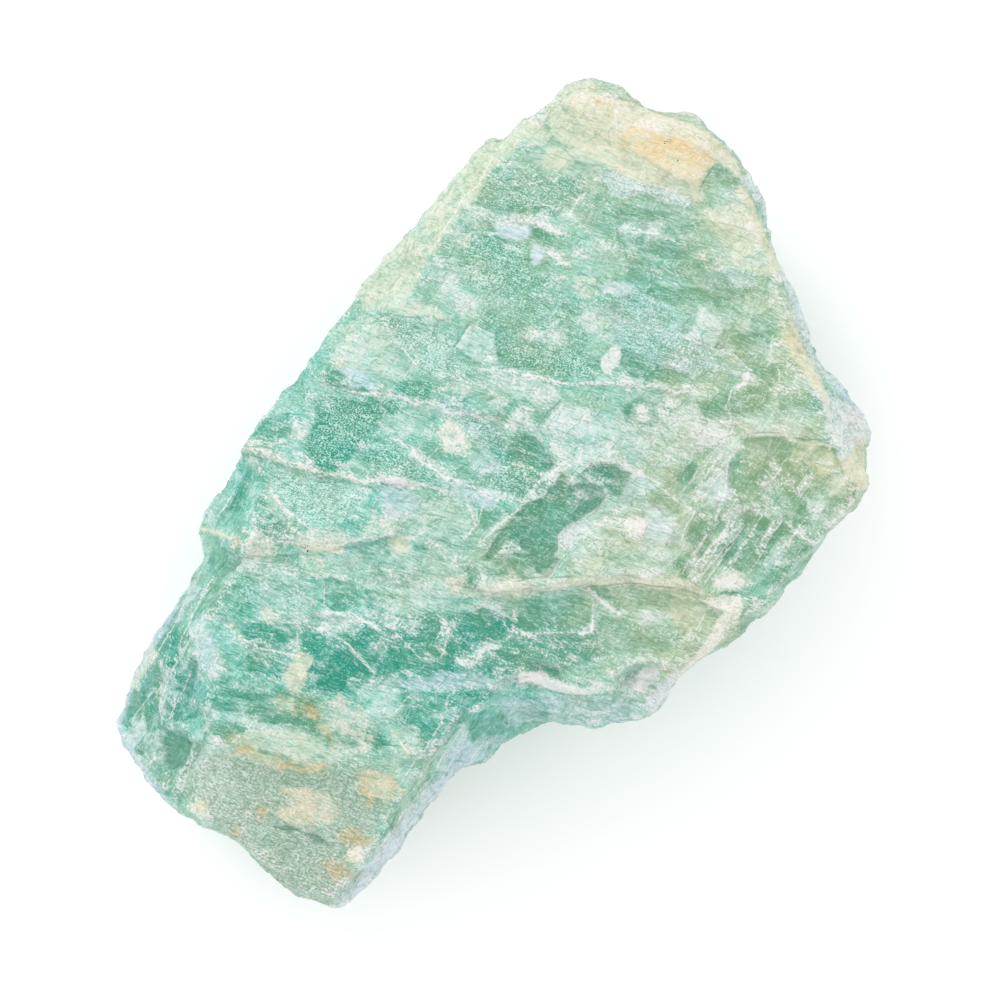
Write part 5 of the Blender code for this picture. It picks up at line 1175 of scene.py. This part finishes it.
def rough_amazonite(colours):
    """Amazonite, green microcline feldspar, broken along its cleavages. Its ground runs from teal
    to olive, clear windows look deep, albite makes pale streaks and grains, crushed edges are
    white, and iron stains the cracks. Light is painted into the colour too: a blue sheen, glints,
    highlights on edges that stand out and on the plates' steps, and shade in the creases, the open
    cracks and on the other side of the steps."""
    material = bpy.data.materials.new("rough_amazonite")
    material.use_nodes = True
    tree = material.node_tree
    tree.nodes.clear()
    node = functools.partial(add_node, tree)

    place = node("TexCoord", out="Object")
    here = node("VectorMath", operation="SCALE", inputs={0: place, "Scale": 1 / MM})
    mark = {name: node("Attribute", attribute_name=name, out="Fac") for name in (
        "cloud", "streak", "tone", "lamina", "clear", "milk", "sand", "grain", "blue", "cream",
        "rust", "crush", "seam", "pit", "crack", "crack_gap", "vein", "vein_gap", *EDGE_ROUNDS)}
    cloud, streak = mark["cloud"], mark["streak"]

    turned = {name: node("Mapping", vector_type="TEXTURE", inputs={
        "Vector": here, "Rotation": (0, 0, math.radians(turn)), "Scale": sizes})
        for name, (turn, sizes) in TEXTURES.items()}

    def texture(places, detail, rough=0.5):
        """Noise about 0."""
        value = node("TexNoise", inputs={
            "Vector": places, "Scale": 1.0, "Detail": detail, "Roughness": rough})
        return node("Math", value, 0.5, operation="SUBTRACT")

    def summed(total, *parts):
        """A value with some textures added, each by its share."""
        for value, share in parts:
            total = node("Math", value, share, total, operation="MULTIPLY_ADD")
        return total

    ragged = texture(turned["breaks"], 4, 0.65)
    crumbs = texture(turned["crumbs"], 3, 0.6)
    salt = texture(turned["grains"], 0)
    laminar = node("Math", summed(mark["lamina"], (ragged, 1.5)), 0.2, operation="GREATER_THAN")

    def hairline(name, width):
        """A thin line of the face, broken here and there."""
        thin = node("Math", mark[name], operation="ABSOLUTE")
        thin = node("MapRange", thin, width, 0.4 * width)
        near = node("MapRange", mark[name + "_gap"], 0.4, 0.25)
        thin = node("Math", thin, near, operation="MULTIPLY")
        gaps = node("MapRange", crumbs, -0.08, 0.04, 0.1, 0.65)
        return node("Math", thin, gaps, operation="MULTIPLY")

    def along(normal, size, long_size, shift):
        """How far along a cleavage's normal, in plates of a size, or in the laminated parts of
        the second size."""
        way = node("VectorMath", here, tuple(normal), operation="DOT_PRODUCT", out="Value")
        return summed(shift, (way, node("MapRange", laminar, 0, 1, 1 / size, 1 / long_size)))

    def plates(sizes, long_sizes, bend):
        """Chance values and tilts of the oblique plates between the cleavages, and the painted
        highlight and painted shade along their edges.
        """
        shift = summed(node("Math", cloud, 0.5, operation="MULTIPLY"), (ragged, bend))
        row = along(STREAK_NORMAL, sizes[0], long_sizes[0], shift)
        row_chance = node("TexWhiteNoise", noise_dimensions="1D",
                          inputs={"W": node("Math", row, operation="FLOOR")})
        column = along(LAMINA_NORMAL, sizes[1], long_sizes[1], shift)
        column = node("Math", column, row_chance, operation="ADD")
        layer = along(FACE_NORMAL, sizes[2], sizes[2], 0.0)
        cell = node("CombineXYZ", *(
            node("Math", value, operation="FLOOR") for value in (row, column, layer)))
        chance = node("TexWhiteNoise", cell, noise_dimensions="3D", out="Color")
        parts = node("SeparateXYZ", chance).node.outputs
        tilt = 0.0
        spans = []
        for value, part, size in ((row, 1, sizes[0]), (column, 2, long_sizes[1])):
            span = node("Math", value, operation="FRACT")
            lean = node("Math", parts[part], 0.5, operation="SUBTRACT")
            tilt = summed(tilt, (lean, span))
            spans.append((span, LINE / size))
        edges = []
        for end, part in ((1, 2), (0, 1)):
            near = [node("MapRange", span, abs(end - width), abs(end - 0.4 * width))
                    for span, width in spans]
            edge = node("Math", *near, operation="MAXIMUM")
            some = node("MapRange", parts[part], 0.4, 0.7)
            edges.append(node("Math", edge, some, operation="MULTIPLY"))
        return parts[0], tilt, *edges

    broad, broad_tilt, broad_highlight_edge, broad_shade_edge = plates(*BROAD_PLATES)
    small, small_tilt, small_highlight_edge, small_shade_edge = plates(*SMALL_PLATES)
    chance = summed(-0.5, (broad, 0.6), (small, 0.4))
    upward = node("Math", small, 0.8, operation="GREATER_THAN")
    upward = node("Math", laminar, upward, operation="MAXIMUM")
    strokes = texture(node("Mix", data_type="VECTOR", out=1, inputs={
        0: upward, 4: turned["down"], 5: turned["up"]}), 1, 0.6)
    rough = summed(ragged, (chance, 0.35), (crumbs, 0.4))
    flow = summed(0.0, (cloud, 0.25), (streak, 0.5), (rough, 1.3))

    rusty = summed(rough, (crumbs, 1.4))
    broken = {name: node("Math", grit, share, mark[name], operation="MULTIPLY_ADD", use_clamp=True)
              for name, grit, share in (
                  ("clear", rough, -1.7), ("milk", rough, 1.5), ("sand", rough, 1.0),
                  ("grain", rough, 1.0), ("blue", rough, 0.9), ("cream", rough, 0.9),
                  ("rust", rusty, 1.8))}
    clear, sandy, grained, cream = (broken[name] for name in ("clear", "sand", "grain", "cream"))
    tone = node("Math", ragged, 0.5, summed(mark["tone"], (cloud, 0.3)),
                operation="MULTIPLY_ADD", use_clamp=True)
    ground, deep, milk, grain = (
        node("Mix", data_type="RGBA", out=2, inputs={0: tone, 6: olive, 7: teal})
        for olive, teal in (
            (colours.olive, colours.teal), (colours.deep_olive, colours.deep_teal),
            (colours.milk_warm, colours.milk_cool), (colours.grain_warm, colours.grain_cool)))

    milky = node("Math", broken["milk"], node("MapRange", clear, 0.6, 1.0, 1, 0.45),
                 operation="MULTIPLY")
    plain = node("MapRange", cream, 0.0, 1.0, 1.0, 0.3)
    calm = node("Math", node("MapRange", clear, 0.0, 1.0, 0.36, 0.2),
                node("MapRange", laminar, 0, 1, 1, 0.6), operation="MULTIPLY")
    glint = summed(crumbs, (ragged, 0.8), (clear, -0.12), (sandy, -0.1))
    # Each plate's step gets a painted highlight along one edge and painted shade along the other
    bright, dark = (
        node("Math", wide, node("Math", narrow, 0.7, operation="MULTIPLY"), operation="MAXIMUM")
        for wide, narrow in ((broad_highlight_edge, small_highlight_edge), (broad_shade_edge, small_shade_edge)))
    bright = node("Math", bright, node("MapRange", crumbs, -0.04, 0.03, 0.05, 0.7),
                  operation="MULTIPLY")

    # Crushed feldspar lies in crumbs with crisp edges, whitest where it lies thick
    fine_edge, broad_edge = (mark[name] for name in EDGE_ROUNDS)
    # Edges that stand out are whiter: partly crushed feldspar and partly painted highlight
    worn_and_highlight = node("Math", node("MapRange", fine_edge, 0.005, 0.05, 0, 0.25),
                node("MapRange", broad_edge, 0.04, 0.3, 0, 0.3), operation="ADD")
    crushed = node("Math", mark["seam"], worn_and_highlight, operation="MAXIMUM")
    crushed = node("Math", mark["crush"], crushed, operation="MAXIMUM")
    crushed = summed(crushed, (crumbs, 1.9), (rough, 0.9), (cream, -0.2), (sandy, -0.15),
                     (node("MapRange", clear, 0.5, 1.0, 0, -0.3), 1.0))
    crushed = node("Math", node("MapRange", crushed, 0.42, 0.52, 0, 0.45),
                   node("MapRange", crushed, 0.5, 1.2, 0, 0.45), operation="ADD")
    # Painted shade: hollows and creases are darkened toward the deep colour
    crease_shade = node("Math", node("MapRange", fine_edge, -0.01, -0.06, 0, 0.2),
                  node("MapRange", broad_edge, -0.08, -0.4, 0, 0.15), operation="ADD")

    # The colours are laid on in this order: strength, its share, and the colour
    shade = ground
    for strength, share, paint in (
            # Veils, clear windows and milky plates
            (node("MapRange", flow, 0.0, 0.5, 0, 0.5), 1.0, milk),
            (node("MapRange", flow, 0.0, -0.6, 0, 0.5), 1.0, deep),
            (clear, 0.92, deep),
            (milky, 0.7, milk),
            # Sand with its dark and pale grit, and albite grains with the pits between them
            (sandy, 0.8, colours.sand),
            (sandy, node("MapRange", crumbs, -0.01, -0.08, 0, 0.6), colours.deep_olive),
            (sandy, node("MapRange", crumbs, 0.02, 0.1, 0, 0.6), milk),
            (grained, node("MapRange", salt, 0.0, -0.14, 0, 0.6), deep),
            (node("MapRange", summed(salt, (grained, 0.2)), 0.2, 0.29, 0, 0.65), 1.0, grain),
            # Painted blue sheen, then the cream and rust stains
            (broken["blue"], 0.65, colours.blue),
            (cream, 0.9, colours.cream),
            (broken["rust"], 0.6, colours.rust),
            # Pale and deep strokes, painted glints, and the painted highlight and painted shade
            # along the edges of the plates
            (calm, node("MapRange", strokes, 0.02, 0.16), grain),
            (node("Math", calm, plain, operation="MULTIPLY"),
             node("MapRange", strokes, -0.02, -0.16), deep),
            (node("MapRange", glint, 0.17, 0.22, 0, 0.4), 1.0, grain),
            (bright, 0.65, grain),
            (dark, node("Math", plain, 0.4, operation="MULTIPLY"), deep),
            # Crushed feldspar with painted highlight on edges that stand out, painted shadow in
            # the open cracks, white veins, black grains, and painted shade in the creases
            (crushed, 1.0, colours.crush),
            (hairline("crack", CRACK_WIDTH), 1.0, colours.shadow),
            (hairline("vein", VEIN_WIDTH), 1.0, colours.crush),
            (node("MapRange", summed(mark["pit"], (salt, 2.0)), 0.75, 0.9), 1.0, colours.pit),
            (crease_shade, 1.0, deep)):
        if share != 1.0:
            strength = node("Math", strength, share, operation="MULTIPLY")
        shade = node("Mix", data_type="RGBA", out=2, inputs={0: strength, 6: shade, 7: paint})

    height = summed(0.0, (broad_tilt, 1.2), (ragged, 0.8), (strokes, 0.12), (small_tilt, 0.5),
                    (crushed, 0.25))
    bump = node("Bump", inputs={"Height": height, "Strength": 0.7, "Distance": BUMP_DEPTH * MM})
    shader = node("BsdfPrincipled", inputs={
        "Base Color": shade, "Roughness": node("MapRange", clear, 0.0, 1.0, 0.55, 0.32),
        "Normal": bump, "IOR": MICROCLINE_IOR, "Specular IOR Level": 0.2,
        "Subsurface Weight": 0.12, "Subsurface Radius": (0.5, 1.0, 0.85),
        "Subsurface Scale": SCATTER_DEPTH * MM})
    node("OutputMaterial", shader)
    return material


def photo_card(shade):
    """Matt white photo card: it gives a pale even ground with no gloss."""
    material = bpy.data.materials.new("matt_photo_card")
    material.use_nodes = True
    shader = material.node_tree.nodes["Principled BSDF"]
    shader.inputs["Base Color"].default_value = (*shade, 1.0)
    shader.inputs["Roughness"].default_value = 0.9
    shader.inputs["Specular IOR Level"].default_value = 0.2
    return material


class AMAZONITE_OT_stone(bpy.types.Operator):
    """Make the stone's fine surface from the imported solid, with its relief and marks"""
    bl_idname = "amazonite.stone"
    bl_label = "Stone"

    def execute(self, context):
        sizes = context.scene.amazonite_sizes
        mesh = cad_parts[NODE].data.copy()
        mesh.materials.clear()
        work = bmesh.new()
        work.from_mesh(mesh)
        bmesh.ops.remove_doubles(work, verts=work.verts, dist=WELD * MM)
        work.to_mesh(mesh)
        work.free()
        stone = bpy.data.objects.new("rough_amazonite", mesh)
        context.scene.collection.objects.link(stone)
        apply_modifier(stone, "REMESH", mode="VOXEL", voxel_size=sizes.grid)
        add_relief(stone.data, sizes)
        stone.data.calc_loop_triangles()
        share = sizes.triangles / len(stone.data.loop_triangles)
        apply_modifier(stone, "DECIMATE", ratio=min(share, 1.0))
        add_marks(stone.data)
        stone.data.shade_smooth()
        stone.data.materials.append(rough_amazonite(context.scene.amazonite_colours))
        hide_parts(NODE)
        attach(stone, "root")
        return {"FINISHED"}


class AMAZONITE_OT_stage(bpy.types.Operator):
    """Make the pale floor, the soft light and the camera that looks down on the broad face"""
    bl_idname = "amazonite.stage"
    bl_label = "Stage"

    def execute(self, context):
        scene = context.scene
        stage = scene.amazonite_stage
        half = stage.floor / 2
        below = NODE_LOW.z - FLOOR_GAP * MM
        corners = [(x * half, y * half, below) for x, y in ((-1, -1), (1, -1), (1, 1), (-1, 1))]
        mesh = bpy.data.meshes.new("floor")
        mesh.from_pydata(corners, [], [(0, 1, 2, 3)])
        floor = bpy.data.objects.new("floor", mesh)
        scene.collection.objects.link(floor)
        mesh.materials.append(photo_card(stage.card))

        world = bpy.data.worlds.new("even_light")
        world.use_nodes = True
        background = world.node_tree.nodes["Background"].inputs
        background["Color"].default_value = (1, 1, 1, 1)
        background["Strength"].default_value = stage.world
        scene.world = world
        key = bpy.data.lights.new("key", "AREA")
        key.shape = "DISK"
        key.size = KEY_SIZE
        key.energy = stage.key
        lamp = bpy.data.objects.new("key", key)
        lamp.location = KEY_PLACE
        lamp.rotation_euler = (-KEY_PLACE).to_track_quat("-Z", "Y").to_euler()
        scene.collection.objects.link(lamp)

        camera = bpy.data.cameras.new("camera")
        camera.lens = stage.lens
        away = stage.photo_width * camera.lens / camera.sensor_width
        eye = bpy.data.objects.new("camera", camera)
        eye.location = (EYE_X * MM, EYE_Y * MM, RIM_SHARE * NODE_HIGH.z + away)
        scene.collection.objects.link(eye)
        scene.camera = eye
        scene.view_settings.view_transform = "Standard"
        return {"FINISHED"}


class AMAZONITE_PT_panel(bpy.types.Panel):
    """Lists the stone and its stage with their sizes and colours"""
    bl_label = "Rough amazonite"
    bl_idname = "AMAZONITE_PT_panel"
    bl_space_type = "VIEW_3D"
    bl_region_type = "UI"
    bl_category = "Amazonite"

    def draw(self, context):
        for operator, groups in OPERATORS:
            box = self.layout.box()
            box.operator(operator.bl_idname)
            for group in groups:
                for name in group.__annotations__:
                    box.prop(getattr(context.scene, GROUPS[group]), name)


GROUPS = {
    AmazoniteSizes: "amazonite_sizes",
    AmazoniteColours: "amazonite_colours",
    AmazoniteStage: "amazonite_stage",
}
OPERATORS = [
    (AMAZONITE_OT_stone, (AmazoniteSizes, AmazoniteColours)),
    (AMAZONITE_OT_stage, (AmazoniteStage,)),
]
CLASSES = (*GROUPS, AMAZONITE_OT_stone, AMAZONITE_OT_stage, AMAZONITE_PT_panel)


def register():
    for kind in CLASSES:
        bpy.utils.register_class(kind)
    for group, name in GROUPS.items():
        setattr(bpy.types.Scene, name, bpy.props.PointerProperty(type=group))


def unregister():
    for name in GROUPS.values():
        delattr(bpy.types.Scene, name)
    for kind in reversed(CLASSES):
        bpy.utils.unregister_class(kind)


def main():
    register()
    bpy.ops.amazonite.stone()
    bpy.ops.amazonite.stage()


if __name__ == "__main__":
    main()
